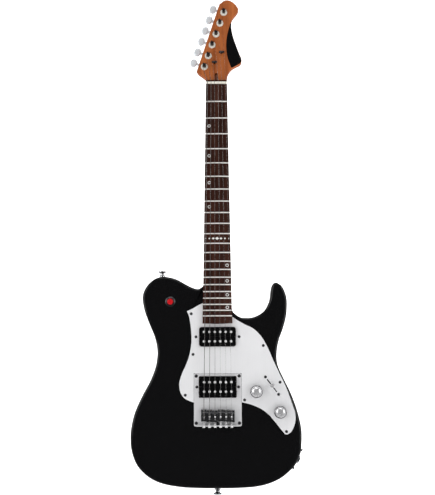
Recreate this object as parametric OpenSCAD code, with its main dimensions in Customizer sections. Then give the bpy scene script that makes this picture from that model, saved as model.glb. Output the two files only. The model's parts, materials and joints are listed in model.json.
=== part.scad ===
// Six-string electric guitar with a bolt-on neck, standing upright.
// X runs to the treble side, Z up the neck, and the front faces -Y.
// The origin is the middle of the nut's front edge, on the plane of the body's front face.

/* [Strings and scale] */
// Length of the open strings, from the nut to the saddles
scale_len = 648; // [540:1:780]
// Distance between the outer strings at the nut
nut_spread = 36; // [32:0.5:38]
// Distance between neighbouring strings at the bridge
string_pitch = 10.7; // [10.4:0.1:11]

/* [Body] */
// Width of the body across its lower bout
body_w = 328; // [272:1:400]
// Height of the body from its upper horn to its lower edge
body_l = 405.5; // [340:0.5:490]
// Thickness of the body
body_t = 44; // [36:0.5:54]
// Wood left under the control cavity
floor_t = 6; // [4:0.5:8]
// Depth of the neck pocket
pocket_depth = 16; // [14:0.5:18]

/* [Neck] */
// Width of the neck at the nut
nut_w = 42.3; // [41:0.1:50]
// Width of the neck at the end of the fingerboard
heel_w = 57; // [54:0.5:62]
// Number of frets
fret_count = 22; // [20:1:24]
// Fingerboard left past the last fret
board_over = 13.8; // [9:0.1:16]
// Thickness of the fingerboard in its middle
board_t = 6; // [5:0.5:7]
// Height of the fingerboard's face above the body's face
board_rise = 9.6; // [9:0.1:12]
// Depth of the neck wood behind the fingerboard, at the nut
neck_t = 15; // [13:0.5:17]
// Radius of the crowned fingerboard
crown_r = 305; // [240:5:400]
// Width of one fret's crown
fret_w = 2.3; // [1.8:0.1:3]
// Height of one fret's crown
fret_h = 1.1; // [0.8:0.1:1.4]
// Width of the tang under each fret
tang_w = 0.6; // [0.5:0.05:0.8]
// Depth of the tang under each fret
tang_depth = 2; // [1.5:0.1:2.5]
// Outer diameter of the ring inlays
ring_d = 6.2; // [4:0.1:7]

/* [Headstock] */
// Thickness of the headstock
head_t = 14; // [12:0.5:16]
// Distance between neighbouring tuner posts
post_pitch = 24.3; // [22:0.1:25]
// Diameter of a tuner post
post_d = 6; // [5:0.5:7]
// Distance from a post to the middle of its key
key_reach = 25.7; // [25:0.1:30]
// Teeth on each tuner gear, which is the tuner's ratio
gear_teeth = 15; // [12:1:18]

/* [Pickguard and bridge] */
// Thickness of the pickguard
guard_t = 2.3; // [1.6:0.1:3]
// Width of the bridge plate
plate_w = 91.5; // [88:0.5:100]
// Length of the bridge plate
plate_l = 100; // [98:0.5:110]
// Thickness of the bridge plate
plate_t = 2; // [1.5:0.1:2.5]
// Height of the bridge plate's turned-up rear lip
lip_h = 9; // [8:0.5:11]
// How far each saddle moves towards the neck
saddle_fore = 2.5; // [1:0.5:2.5]
// How far each saddle moves towards the lip
saddle_aft = 4; // [1:0.5:4]

/* [Pickups] */
// Width of a pickup across the strings
pickup_w = 69.5; // [66:0.5:72]
// Length of a pickup along the strings
pickup_l = 36.5; // [35:0.5:38]
// Distance between a pickup's two rows of poles
row_gap = 18; // [17:0.5:19]
// Height of the pickups above the body's face
pickup_rise = 7; // [5:0.5:8]

/* [Controls] */
// Diameter of a control knob
knob_d = 24; // [18:0.5:26]
// Height of a control knob
knob_h = 17; // [14:0.5:20]
// Diameter of the kill button's cap
button_d = 12; // [10:0.5:14]
// How far the kill button travels
button_travel = 2; // [1:0.5:3]
// Distance between the pickup switch's two screws
switch_pitch = 41.6; // [38:0.1:44]
// Swing of the switch lever to each side, in degrees
switch_swing = 22; // [15:1:24]
// Diameter of the plug that the output jack takes
plug_d = 6.35; // [6.2:0.05:6.5]

/* [Fits] */
// Gap round a piece that turns or slides in another
run_gap = 0.05; // [0.03:0.01:0.1]
// Gap round a piece that lies still in its seat
seat_gap = 0.1; // [0.05:0.05:0.2]
// Gap between a moving piece and what it passes
clear_gap = 0.3; // [0.3:0.05:0.5]

/* [Hidden] */
$fn = 32;
e = 0.01;  // overlap that lets a cut run through a face

// Lengthwise places, from the nut down
function fret_z(n) = -scale_len * (1 - pow(2, -n / 12));
end_z = fret_z(fret_count) - board_over;
board_top_z = 8;
nut_t = 4;
board_face = -board_rise;
board_back = board_face + board_t;

// Depths of the headstock and the neck's back
head_face = board_back + 2.1;
head_back = head_face + head_t;
back_at_nut = board_back + neck_t;
back_at_heel = pocket_depth - 2.2;
heel_top = 75;

// Places on the body are drawn for the sizes below, from the neck's end, and stretched to fit.
// The middle strip, which holds the neck, the pickups and the bridge, keeps its width.
drawn_w = 328;
drawn_l = 405.5;
horn_rise = 92;
core = 58;
wing_k = (body_w - 2 * core) / (drawn_w - 2 * core);
drop_k = (body_l - horn_rise) / (drawn_l - horn_rise);
function wing(x) = abs(x) <= core ? x : sign(x) * (core + (abs(x) - core) * wing_k);
function spot(p) = [wing(p[0]), end_z + (p[1] < 0 ? p[1] * drop_k : p[1])];
function spots(pts) = [for (p = pts) spot(p)];

// Smooth curve through a list of points, closed or open
function blend(a, b, c, d, t) = 0.5 * (2 * b + (c - a) * t + (2 * a - 5 * b + 4 * c - d) * t * t
    + (3 * b - a - 3 * c + d) * t * t * t);
function curve(pts, n = 6) = let (m = len(pts) - 1) concat(
    [for (i = [0 : m - 1], k = [0 : n - 1])
        blend(pts[max(i - 1, 0)], pts[i], pts[i + 1], pts[min(i + 2, m)], k / n)],
    [pts[m]]);

// Body outline, as one run from the bass side of the neck round to the treble side
BODY_EDGE = [[-28, 73], [-37.5, 67.5], [-49.5, 70.5], [-61.5, 76.5], [-79.5, 86.5], [-96, 91],
    [-109, 92], [-123, 87.5], [-136, 76.5], [-144.5, 61.5], [-146, 45.5], [-141.5, 23],
    [-132.5, -1], [-122.5, -25], [-117.5, -46], [-117, -64.5], [-121, -86.5], [-131, -112],
    [-146, -140], [-159.5, -170.5], [-166.5, -200.5], [-167.5, -224], [-164, -248],
    [-153, -272.5], [-132, -292.5], [-106, -304.5], [-71, -311], [-36, -313], [-1, -313.5],
    [38.5, -313], [73.5, -310.5], [101.5, -303.5], [125.5, -291], [145.5, -271.5], [157, -248],
    [160.5, -221], [159, -195.5], [151, -162.5], [139.5, -132], [126.5, -105], [116.5, -81.5],
    [114.5, -59.5], [119, -33.5], [128, -9], [134, 14], [136, 36.5], [134.5, 53.5],
    [128.5, 69.5], [120.5, 77.5], [113, 79.5], [107.5, 74.5], [105, 61.5], [102.5, 45.5],
    [95, 29.5], [85, 19], [70, 12], [57, 10.5], [43, 12.5], [30.5, 22]];
HEEL_EDGE = [[28, 30], [27.5, 62], [25, 70], [18, 73]];

// Pickguard outline, in three runs that meet at corners
GUARD_BASS_TOP = [[-26, 40], [-34.5, 36.5], [-48.5, 28.5], [-59.5, 23.5]];
GUARD_BASS_SIDE = [[-59.5, 23.5], [-55, 12], [-51.5, -10.5], [-50.5, -29.5], [-51.5, -44.5],
    [-55.5, -64.5], [-62, -82], [-68, -95], [-73, -110], [-74, -120], [-72, -132], [-66, -142],
    [-57, -148], [-46, -152]];
GUARD_TREBLE = [[46.5, -152], [63, -156], [82, -164], [97, -175], [110.5, -190.5],
    [122.5, -205.5], [130.5, -213], [139.5, -208.5], [145.5, -198.5], [148.5, -186.5],
    [148.5, -175.5], [145.5, -163], [132, -125], [118, -95], [107.5, -72], [97.5, -48.5],
    [84.5, -25.5], [69, -10.5], [53, -2.5], [39, 5.5], [30, 12]];
GUARD_SCREWS = [[-51, 18.5], [-47.5, -60], [-62.5, -138], [88.5, -43.5], [120, -114],
    [51.5, -147.5], [131, -207.5]];

// Pickups, bridge and controls
neck_pickup_z = end_z - 26.3;
bridge_pickup_z = -scale_len + 45.5;
PICKUPS = [[neck_pickup_z, 1], [bridge_pickup_z, -1]];
opening_w = pickup_w + 2;
opening_l = pickup_l + 1.6;
pickup_ear = 41.8;
pickup_room = 24;
plate_top_z = -scale_len + 71;
plate_end_z = plate_top_z - plate_l;
hole_z = -scale_len - 12;
volume_at = spot([74, -132]);
tone_at = spot([119.5, -171]);
switch_at = spot([104.5, -120.5]);
kill_at = spot([-92, 42.5]);
slot_tilt = 52.9;
pot_d = 24;
pot_h = 9;
bush_d = 9.4;
shaft_d = 6;
pivot_y = 22;
knob_lift = 3;

// Output jack, on the lower treble edge
JACK_EDGE = [[157, -248], [145.5, -271.5]];
jack_a = spot(JACK_EDGE[0]);
jack_b = spot(JACK_EDGE[1]);
jack_dir = (jack_b - jack_a) / norm(jack_b - jack_a);
jack_turn = atan2(jack_dir[0], -jack_dir[1]);
jack_at = (jack_a + jack_b) / 2 + 1.5 * [-jack_dir[1], jack_dir[0]];
jack_screw_gap = 38;
jack_plate_t = 1.4;
jack_nose = 9.4;
jack_case = 19;
jack_depth = 34;

// Strap buttons, on the upper horn and the lower edge
STRAP_SPOTS = [[spot([-109, 92]), 0], [spot([-1, -313.5]), 180]];

// Strings: radii from the lowest to the highest, and the places that they pass
STRING_R = [0.58, 0.46, 0.33, 0.24, 0.18, 0.14];
nut_y = board_face - 2;
saddle_y = board_face - 4.4;
function nut_x(i) = (i - 2.5) * nut_spread / 5;
function bridge_x(i) = (i - 2.5) * string_pitch;

// Tuners, in one row that leans towards the tip
first_post = [-24.4, 38.3];
row_lean = 19.1;
function post_at(i) = first_post + i * post_pitch * [sin(row_lean), cos(row_lean)];
post_top = head_face - 17;
worm_y = head_back + 5;
gear_r = 0.3 * gear_teeth;
worm_r = 1.9;
worm_off = gear_r + worm_r;
thread_pitch = 2 * PI * gear_r / gear_teeth;
housing_t = 10;
washer_d = 14;
washer_t = 2;
SADDLE_SHIFT = [0.8, 0, -0.8, 0.9, 0.2, -0.6];

// Screw sizes: head diameter, shank diameter and length
SMALL_WOOD = [5.6, 2.8, 12];
BRIDGE_WOOD = [6.4, 3.2, 22];
NECK_WOOD = [8.6, 4.2, body_t - 1];
STRAP_WOOD = [6.4, 3.6, 28];
HEAD_WOOD = [4.6, 2.2, 9];
TREE_WOOD = [4.6, 2.2, 15];
PANEL_MACHINE = [5.6, 2.9, 12];

// ---- helpers ----

// Extrudes a front view from depth y0 back to y1
module front(y0, y1) {
    translate([0, y1, 0]) rotate([90, 0, 0]) linear_extrude(y1 - y0) children();
}
module pin(at, d, y0, y1) {
    front(y0, y1) translate(at) circle(d = d);
}
// Turns local +Z to the front or to the back at a place on the front view
module facing_front(at, y) {
    translate([at[0], y, at[1]]) rotate([90, 0, 0]) children();
}
module facing_back(at, y) {
    translate([at[0], y, at[1]]) rotate([-90, 0, 0]) children();
}
module round_box(w, l, r) {
    square([w - 2 * r, l], center = true);
    square([w, l - 2 * r], center = true);
    for (x = [-1, 1], y = [-1, 1])
        translate([x * (w / 2 - r), y * (l / 2 - r)]) circle(r = r);
}
// Skin over a list of rings that all have the same number of points
// and turn clockwise, seen from the last ring
module loft(rings) {
    n = len(rings[0]);
    m = len(rings);
    polyhedron(points = [for (r = rings) each r], faces = concat(
        [[for (k = [n - 1 : -1 : 0]) k]],
        [for (j = [0 : m - 2], k = [0 : n - 1])
            [j * n + k, j * n + (k + 1) % n, (j + 1) * n + (k + 1) % n, (j + 1) * n + k]],
        [[for (k = [0 : n - 1]) (m - 1) * n + k]]));
}
// Screw with a raised countersunk head: the surface is at z = 0 and the head is above it
module screw_body(size, extra = 0) {
    r = size[0] / 2 + extra;
    s = size[1] / 2 + extra;
    rotate_extrude() polygon([[0, -size[2]], [s * 0.5, -size[2] + 0.6], [s, -size[2] + 2.5],
        [s, s - r], [r, 0], [r * 0.8, r * 0.22], [r * 0.5, r * 0.36], [0, r * 0.42]]);
}
module screw(size) {
    difference() {
        screw_body(size);
        for (a = [0, 90]) rotate(a)
            translate([-size[0] * 0.3, -size[0] * 0.07, -size[0] * 0.16])
                cube([size[0] * 0.6, size[0] * 0.14, size[0]]);
    }
}
module screw_room(size) {
    screw_body(size, seat_gap);
}
module hex_nut(across, bore, h) {
    difference() {
        cylinder(d = across / cos(30), h = h, $fn = 6);
        translate([0, 0, -e]) cylinder(d = bore, h = h + 2 * e);
    }
}

// ---- outlines ----

module body_outline() {
    polygon(concat(curve(spots(BODY_EDGE)), curve(spots(HEEL_EDGE))));
}
function half_w(z) = (nut_w + (heel_w - nut_w) * z / end_z) / 2;
module neck_outline(gap = 0) {
    polygon([[-half_w(board_top_z) - gap, board_top_z], [half_w(board_top_z) + gap, board_top_z],
        [half_w(end_z) + gap, end_z - gap], [-half_w(end_z) - gap, end_z - gap]]);
}
// The fingerboard's end bows out a little
board_bow = 1.6;
module board_outline() {
    polygon(concat([[-half_w(board_top_z), board_top_z], [half_w(board_top_z), board_top_z]],
        [for (k = [6 : -1 : -6]) [half_w(end_z) * k / 6, end_z - board_bow * (1 - k * k / 36)]]));
}
module guard_outline() {
    difference() {
        polygon(concat(curve(spots(GUARD_BASS_TOP)), curve(spots(GUARD_BASS_SIDE)),
            curve(spots(GUARD_TREBLE))));
        neck_outline(0.5);
        translate([-plate_w / 2 - 0.4, plate_top_z + 0.4 - 2 * plate_l])
            square([plate_w + 0.8, 2 * plate_l]);
        translate([0, neck_pickup_z]) round_box(opening_w, opening_l, 5);
    }
}

// ---- body and what is fixed to it ----

// Two round cuts and the slightly narrower strip between them
module routed(a, b, d) {
    step = b - a;
    translate(a) circle(d = d);
    translate(b) circle(d = d);
    translate((a + b) / 2) rotate(atan2(step[1], step[0])) square([norm(step), d - 2], center = true);
}
module control_room() {
    routed(volume_at, tone_at, 34);
    routed(volume_at, switch_at, 34);
    translate(switch_at) rotate(-slot_tilt) square([switch_pitch + 14, 20], center = true);
}
// The jack's frame: local +Z points out of the body's edge, and local X along it
module at_jack(shift = 0) {
    translate([jack_at[0], body_t / 2, jack_at[1]]) rotate([0, 90 - jack_turn, 0])
        translate([shift, 0, 0]) children();
}
module at_strap(s) {
    translate([s[0][0], body_t / 2, s[0][1]]) rotate([0, s[1], 0]) children();
}
module wire_way(a, b, y, d = 8) {
    run = [b[0] - a[0], b[1] - a[1]];
    translate([a[0], y, a[1]]) rotate([0, atan2(run[0], run[1]), 0]) cylinder(d = d, h = norm(run));
}

module body() color([0.06, 0.06, 0.065]) difference() {
    front(0, body_t) body_outline();
    // neck pocket
    front(-e, pocket_depth) neck_outline(seat_gap);
    // one room under each pickup
    for (p = PICKUPS) front(-e, pickup_room) translate([0, p[0]])
        round_box(2 * pickup_ear + 12, pickup_l + 5, 4);
    // controls, and the ways for the wires
    front(-e, body_t - floor_t) control_room();
    wire_way([0, neck_pickup_z], [0, bridge_pickup_z], 18);
    wire_way([30, bridge_pickup_z], volume_at, 18);
    wire_way([kill_at[0], kill_at[1]], [-30, neck_pickup_z], 18);
    wire_way(tone_at, jack_at - jack_depth * 0.8 * [-jack_dir[1], jack_dir[0]], body_t / 2);
    // output jack
    at_jack() translate([0, 0, -jack_depth - 2]) cylinder(d = jack_case + 2, h = jack_depth + 12);
    for (s = [-1, 1]) at_jack(s * jack_screw_gap / 2) translate([0, 0, jack_plate_t])
        screw_room(SMALL_WOOD);
    // kill switch, with its room behind
    pin(kill_at, button_d + 4, -e, 10);
    pin(kill_at, 40, 6, body_t + e);
    pin(kill_at, 50 + 2 * seat_gap, body_t - 2, body_t + e);
    for (a = [90, 210, 330]) facing_back(kill_at + 22.3 * [cos(a), sin(a)], body_t)
        screw_room(SMALL_WOOD);
    // screws and strings
    for (p = GUARD_SCREWS) facing_front(spot(p), -guard_t) screw_room(SMALL_WOOD);
    for (p = BRIDGE_SCREWS) facing_front(p, -plate_t) screw_room(BRIDGE_WOOD);
    for (p = NECK_SCREWS) facing_back(p, body_t + 2) screw_room(NECK_WOOD);
    for (s = STRAP_SPOTS) at_strap(s) {
        cylinder(d = 10.8 + 2 * seat_gap, h = 5);
        translate([0, 0, 12]) screw_room(STRAP_WOOD);
    }
    for (i = [0 : 5]) {
        pin([bridge_x(i), hole_z], 3.4, -e, body_t);
        pin([bridge_x(i), hole_z], 8 + 2 * seat_gap, body_t - 9, body_t + e);
    }
}

module pickguard() color([0.93, 0.93, 0.94]) difference() {
    front(-guard_t, 0) guard_outline();
    for (p = GUARD_SCREWS) facing_front(spot(p), -guard_t) screw_room(SMALL_WOOD);
    for (s = [-1, 1]) facing_front([s * pickup_ear, neck_pickup_z], -guard_t)
        screw_room(PANEL_MACHINE);
    for (p = [volume_at, tone_at]) pin(p, bush_d + 2 * seat_gap, -guard_t - e, e);
    front(-guard_t - e, e) translate(switch_at) rotate(-slot_tilt) round_box(31, 2, 0.9);
    at_switch() for (s = [-1, 1]) translate([s * switch_pitch / 2, 0, guard_t])
        screw_room(PANEL_MACHINE);
}

module cover_screws() color("silver") {
    for (p = GUARD_SCREWS) facing_front(spot(p), -guard_t) screw(SMALL_WOOD);
    for (a = [90, 210, 330]) facing_back(kill_at + 22.3 * [cos(a), sin(a)], body_t)
        screw(SMALL_WOOD);
    for (s = [-1, 1]) at_jack(s * jack_screw_gap / 2) translate([0, 0, jack_plate_t])
        screw(SMALL_WOOD);
}

module rear_cover() color([0.08, 0.08, 0.08]) difference() {
    pin(kill_at, 50, body_t - 2, body_t);
    for (a = [90, 210, 330]) facing_back(kill_at + 22.3 * [cos(a), sin(a)], body_t)
        screw_room(SMALL_WOOD);
}

module strap_buttons() color("gainsboro") for (s = STRAP_SPOTS) at_strap(s) difference() {
    rotate_extrude() polygon([[0, 0], [5.4, 0], [5.4, 3.4], [4.6, 4.4], [3.9, 5.4], [3.9, 8],
        [4.8, 9.4], [7.2, 10.2], [7.8, 11], [7.6, 12.2], [6.6, 13], [0, 13]]);
    translate([0, 0, 12]) screw_room(STRAP_WOOD);
    translate([0, 0, 12]) cylinder(d = STRAP_WOOD[0] + 2 * seat_gap, h = 2);
}

module strap_button_screws() color("silver") {
    for (s = STRAP_SPOTS) at_strap(s) translate([0, 0, 12]) screw(STRAP_WOOD);
}

module jack_plate() color("gainsboro") difference() {
    // the plate follows the body's edge
    intersection() {
        front(0, body_t) difference() {
            translate(jack_plate_t * [-jack_dir[1], jack_dir[0]]) body_outline();
            body_outline();
        }
        at_jack() translate([0, 0, -15]) linear_extrude(30)
            round_box(jack_screw_gap + 12, 24, 8);
    }
    at_jack() translate([0, 0, -10]) cylinder(d = jack_nose + 2 * seat_gap, h = 20);
    for (s = [-1, 1]) at_jack(s * jack_screw_gap / 2) translate([0, 0, jack_plate_t])
        screw_room(SMALL_WOOD);
}

module jack_socket() color("silver") at_jack() difference() {
    union() {
        translate([0, 0, -jack_depth]) cylinder(d = jack_case, h = jack_depth - 3);
        translate([0, 0, -4]) cylinder(d = jack_nose, h = 9);
    }
    translate([0, 0, -jack_depth + 2]) cylinder(d = plug_d + 0.35, h = jack_depth + 10);
}

module panel_nuts() color("silver") {
    for (p = [volume_at, tone_at]) facing_front(p, -guard_t) hex_nut(12, bush_d + 2 * run_gap, 2);
    at_jack() translate([0, 0, 2.2]) hex_nut(12.7, jack_nose + 2 * run_gap, 2);
    facing_back(kill_at, 6) hex_nut(20, button_d + 3.6 + 2 * run_gap, 2.5);
}

// ---- neck ----

// Half of a flattened oval, from the bass edge under the neck to the treble edge
function neck_ring(z, w, y0, y1, power) = concat([[-w, y0, z]],
    [for (a = [180 : -10 : 0]) let (c = cos(a), s = sin(a)) [
        w * sign(c) * pow(abs(c), 2 / power),
        y0 + 1.2 + (y1 - y0 - 1.2) * pow(abs(s), 2 / power), z]],
    [[w, y0, z]]);
function neck_back(z) = back_at_nut + (back_at_heel - back_at_nut) * z / (end_z + heel_top);
heel_from = end_z + heel_top;
SHAFT_ZS = concat([for (k = [0 : 7]) heel_from - 12 + 4 * k], [for (k = [1 : 9])
    heel_from + 16 + (board_top_z - heel_from - 16) * k / 9]);
function heel_mix(z) = let (t = min(max((heel_from + 14 - z) / 14, 0), 1)) t * t * (3 - 2 * t);

module neck() color([0.78, 0.45, 0.24]) difference() {
    union() {
        // the shaft starts a little inside the heel's block
        loft([for (z = SHAFT_ZS) let (h = heel_mix(z), inside = z < heel_from - 11 ? 0.5 : 0)
            neck_ring(z, half_w(z) - inside, board_back + inside,
                neck_back(z) * (1 - h) + pocket_depth * h - inside, 2.3 + 8 * h)]);
        front(board_back, pocket_depth) intersection() {
            neck_outline();
            translate([-heel_w, end_z - 1]) square([2 * heel_w, heel_top - 10]);
        }
        front(head_face, head_back) head_outline();
    }
    // channel for the truss rod, with its open end at the headstock
    translate([-2.9, board_back - e, end_z + 12]) cube([5.8, 9, -end_z - 12 + board_top_z]);
    translate([-2.9, head_face - 3, board_top_z - e]) cube([5.8, 9.6, 17]);
    for (i = [0 : 5]) pin(post_at(i), 10 + 2 * seat_gap, head_face - e, head_back + e);
    for (p = NECK_SCREWS) facing_back(p, body_t + 2) screw_room(NECK_WOOD);
    headstock_screw_places() screw_room(HEAD_WOOD);
    for (t = TREES) facing_front(t, head_face - 7) screw_room(TREE_WOOD);
}

HEAD_TIP = [[-21.4, 13.8], [-29, 19.5], [-36.2, 25.1], [-38.6, 29.5], [-38, 35], [-16, 102],
    [5, 166.4], [9.6, 173.3], [15.5, 178.4], [22, 180], [30, 178], [38.5, 171.5], [44, 163.5],
    [45, 159], [41.5, 152.5], [34, 143], [30.5, 133], [31, 119.5], [34, 102.5], [39.5, 85.5],
    [45.5, 68.5], [50.6, 55.5], [50.6, 49], [47.5, 44.5], [40, 40.5], [31.2, 35.2],
    [25, 27.5], [22, 20], [21.4, 13.8]];
module head_outline() {
    polygon(concat([[-half_w(0), 3]], curve(HEAD_TIP, 5), [[half_w(0), 3]]));
}

module crowned(rise = 0) {
    intersection() {
        children();
        translate([0, board_face + crown_r, end_z - 20])
            cylinder(r = crown_r + rise, h = -end_z + 60, $fn = 360);
    }
}
module across_neck(z, w, y0, y1) {
    front(y0, y1) intersection() {
        neck_outline();
        translate([-heel_w, z - w / 2]) square([2 * heel_w, w]);
    }
}
module fingerboard() color([0.24, 0.14, 0.1]) difference() {
    crowned() front(board_face - 2, board_back) board_outline();
    inlay_shapes(0.04);
    for (n = [1 : fret_count]) translate([-heel_w, board_face - 2, fret_z(n) - tang_w / 2])
        cube([2 * heel_w, tang_depth + 2.1, tang_w]);
    translate([-nut_w, board_face - 5, 0]) cube([2 * nut_w, 8.5, nut_t]);
}

module frets() color("silver") {
    for (n = [1 : fret_count]) let (z = fret_z(n)) {
        difference() {
            crowned(rise = fret_h) across_neck(z, fret_w, board_face - 3, board_back);
            translate([0, board_face + crown_r, z - fret_w]) cylinder(r = crown_r, h = 2 * fret_w,
                $fn = 360);
        }
        crowned() across_neck(z, tang_w, board_face - 0.5, board_face + tang_depth);
    }
}

module nut() color([0.95, 0.94, 0.9]) difference() {
    translate([-half_w(0), board_face - 3.1, 0]) cube([2 * half_w(0), 6.6, nut_t]);
    // the top slopes down towards the headstock
    translate([-nut_w, board_face - 3.1, nut_t - 1]) rotate([35, 0, 0])
        translate([0, -4, 0]) cube([2 * nut_w, 4, 6]);
    for (i = [0 : 5]) translate([nut_x(i), nut_y, -1])
        cylinder(r = STRING_R[i] + run_gap, h = nut_t + 2);
    for (i = [0 : 5]) translate([nut_x(i) - STRING_R[i] - run_gap, nut_y - 4, -1])
        cube([2 * (STRING_R[i] + run_gap), 4, nut_t + 2]);
}

// Rings beside the outer strings, and a row of plain diamonds at the octave
BASS_RINGS = [3, 5, 7, 9];
TREBLE_RINGS = [15, 17, 19, 21];
function between_frets(n) = (fret_z(n) + fret_z(n - 1)) / 2;
module inlay_shapes(gap = 0) {
    y1 = board_face + 2;
    for (n = BASS_RINGS) ring_inlay([-nut_spread / 2 * 0.84, between_frets(n)], y1, gap);
    for (n = TREBLE_RINGS) ring_inlay([string_pitch * 1.8, between_frets(n)], y1, gap);
    for (k = [-3 : 3]) let (s = [5.6, 4.2, 3.2, 2.2][abs(k)])
        front(board_face - 1, y1) translate([k * 7.6, between_frets(12)]) scale([1, 0.8])
            rotate(45) square(s + gap, center = true);
}
module ring_inlay(at, y1, gap) {
    translate([at[0], 0, at[1]]) rotate([0, 45, 0]) difference() {
        pin([0, 0], ring_d + gap, board_face - 1, y1);
        pin([0, 0], ring_d - 2.2 - gap, board_face - 2, y1 + e);
    }
}
module inlays() color([0.9, 0.9, 0.88]) crowned() inlay_shapes();

module truss_rod() color([0.35, 0.22, 0.15]) {
    translate([-2.8, board_back + 2.6, end_z + 13]) cube([5.6, 6, -end_z - 13 + board_top_z - 1]);
    translate([0, board_back + 5.6, board_top_z - 1]) cylinder(d = 5.4, h = 15);
}

TREES = [[10.7, 67.5], [-3.8, 46.5]];
module string_trees() color("silver") for (t = TREES) difference() {
    union() {
        pin(t, 5, head_face - 5.5, head_face);
        front(head_face - 7, head_face - 5.5) translate(t) round_box(11, 4, 1.6);
        for (s = [-1, 1]) front(head_face - 5.6, head_face - 3.8) translate(t + [s * 4.9, 0])
            square([1.2, 3], center = true);
    }
    facing_front(t, head_face - 7) screw_room(TREE_WOOD);
}

HOUSING_SCREW = [6.2, -9.4];
module headstock_screw_places() {
    for (i = [0 : 5]) at_post(i) translate([HOUSING_SCREW[0], head_back + 2, HOUSING_SCREW[1]])
        rotate([-90, 0, 0]) children();
}
module headstock_screws() color("silver") {
    headstock_screw_places() screw(HEAD_WOOD);
    for (t = TREES) facing_front(t, head_face - 7) screw(TREE_WOOD);
}

NECK_SCREWS = [for (x = [-19, 19], z = [-25.5, 25.5]) [x, end_z + 38 + z]];
module neck_plate() color("gainsboro") difference() {
    front(body_t, body_t + 2) translate([0, end_z + 38]) round_box(51, 64, 4);
    for (p = NECK_SCREWS) facing_back(p, body_t + 2) screw_room(NECK_WOOD);
}
module neck_screws() color("silver") {
    for (p = NECK_SCREWS) facing_back(p, body_t + 2) screw(NECK_WOOD);
}

// ---- tuners ----

// A post's frame: local Z runs up the row, and the key lies towards local -X
module at_post(i) {
    translate([post_at(i)[0], 0, post_at(i)[1]]) rotate([0, row_lean, 0]) children();
}
module tuner_housings() color("silver") for (i = [0 : 5]) at_post(i) difference() {
    union() {
        translate([-9, head_back, -7.5]) cube([16.5, housing_t, 19.5]);
        translate([-14, worm_y, worm_off]) rotate([0, 90, 0]) cylinder(d = 6.4, h = 6);
        translate([3.6, head_back, -12]) cube([5.2, 2, 6]);
    }
    front(head_back - e, head_back + housing_t - 1.5) circle(d = 12.2);
    translate([-6.5, head_back + 2, worm_off - 2.9]) cube([12.5, 6.2, 5.8]);
    translate([-20, worm_y, worm_off]) rotate([0, 90, 0]) cylinder(d = 3.2 + 2 * run_gap, h = 24);
    translate([HOUSING_SCREW[0], head_back + 2, HOUSING_SCREW[1]]) rotate([-90, 0, 0])
        screw_room(HEAD_WOOD);
}

module tuner_bushings() color("gainsboro") for (i = [0 : 5]) at_post(i) difference() {
    union() {
        front(head_face - washer_t, head_face) circle(d = washer_d);
        front(head_face - washer_t - 1.6, head_face) circle(d = 10.4);
        front(head_face, head_back) circle(d = 10);
    }
    front(head_face - 9, head_back + e) circle(d = post_d + 2 * run_gap);
}

// Flat gear whose straight teeth stand clear of the worm's thread
module gear_outline() {
    half = 2.2;
    polygon([for (k = [0 : gear_teeth - 1], c = [[-3.4, -0.65], [-half, 0.5], [half, 0.5],
        [3.4, -0.65]]) let (a = k * 360 / gear_teeth + c[0] * 360 / gear_teeth / 14,
        r = gear_r + c[1]) r * [sin(a), cos(a)]]);
}
module tuner_post(i) color("gainsboro") at_post(i) difference() {
    union() {
        front(post_top, worm_y + 2.4) circle(d = post_d);
        front(post_top, post_top + 2.5) circle(d = post_d + 1);
        front(worm_y - 1, worm_y + 1) gear_outline();
    }
    // slot for the string's end
    translate([-0.9, post_top - 1, -5]) cube([1.8, 4.5, 10]);
}

// One turn and a bit of thread each side of the gear, as a swept tooth
WORM_TOOTH = [[-0.52, -0.75], [-0.2, 0.5], [0.2, 0.5], [0.52, -0.75]];
function worm_ring(a) = [for (c = WORM_TOOTH) let (r = worm_r + c[1]) [
    c[0] + thread_pitch * (a / 360 + 0.75), r * cos(a), r * sin(a)]];
module tuner_key(i) color("gainsboro") at_post(i) {
    translate([0, worm_y, worm_off]) {
        // shaft and worm
        translate([-key_reach + 4, 0, 0]) rotate([0, 90, 0])
            cylinder(d = 3.2, h = key_reach - 4 - 4.4);
        translate([-4.5, 0, 0]) rotate([0, 90, 0]) cylinder(r = worm_r - 0.7, h = 9);
        loft([for (a = [-720 : 24 : 360]) worm_ring(a)]);
        // collar and oval button
        translate([-key_reach + 6.5, 0, 0]) rotate([0, 90, 0]) cylinder(d = 5.6, h = 4.5);
        key_button();
    }
}
module key_button() {
    translate([-key_reach, 0, 0]) intersection() {
        front(-4, 4) key_outline();
        translate([0, 0, -12]) linear_extrude(24) polygon([
            [-7.5, -1.8], [-7, -2.4], [5.5, -3.7], [6.8, -3], [6.8, 3], [5.5, 3.7], [-7, 2.4],
            [-7.5, 1.8]]);
    }
}
module key_outline() {
    intersection() {
        circle(r = 9);
        translate([4.6, 0]) circle(r = 11.6);
        translate([-4.2, 0]) circle(r = 11);
    }
}

// ---- bridge ----

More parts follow.
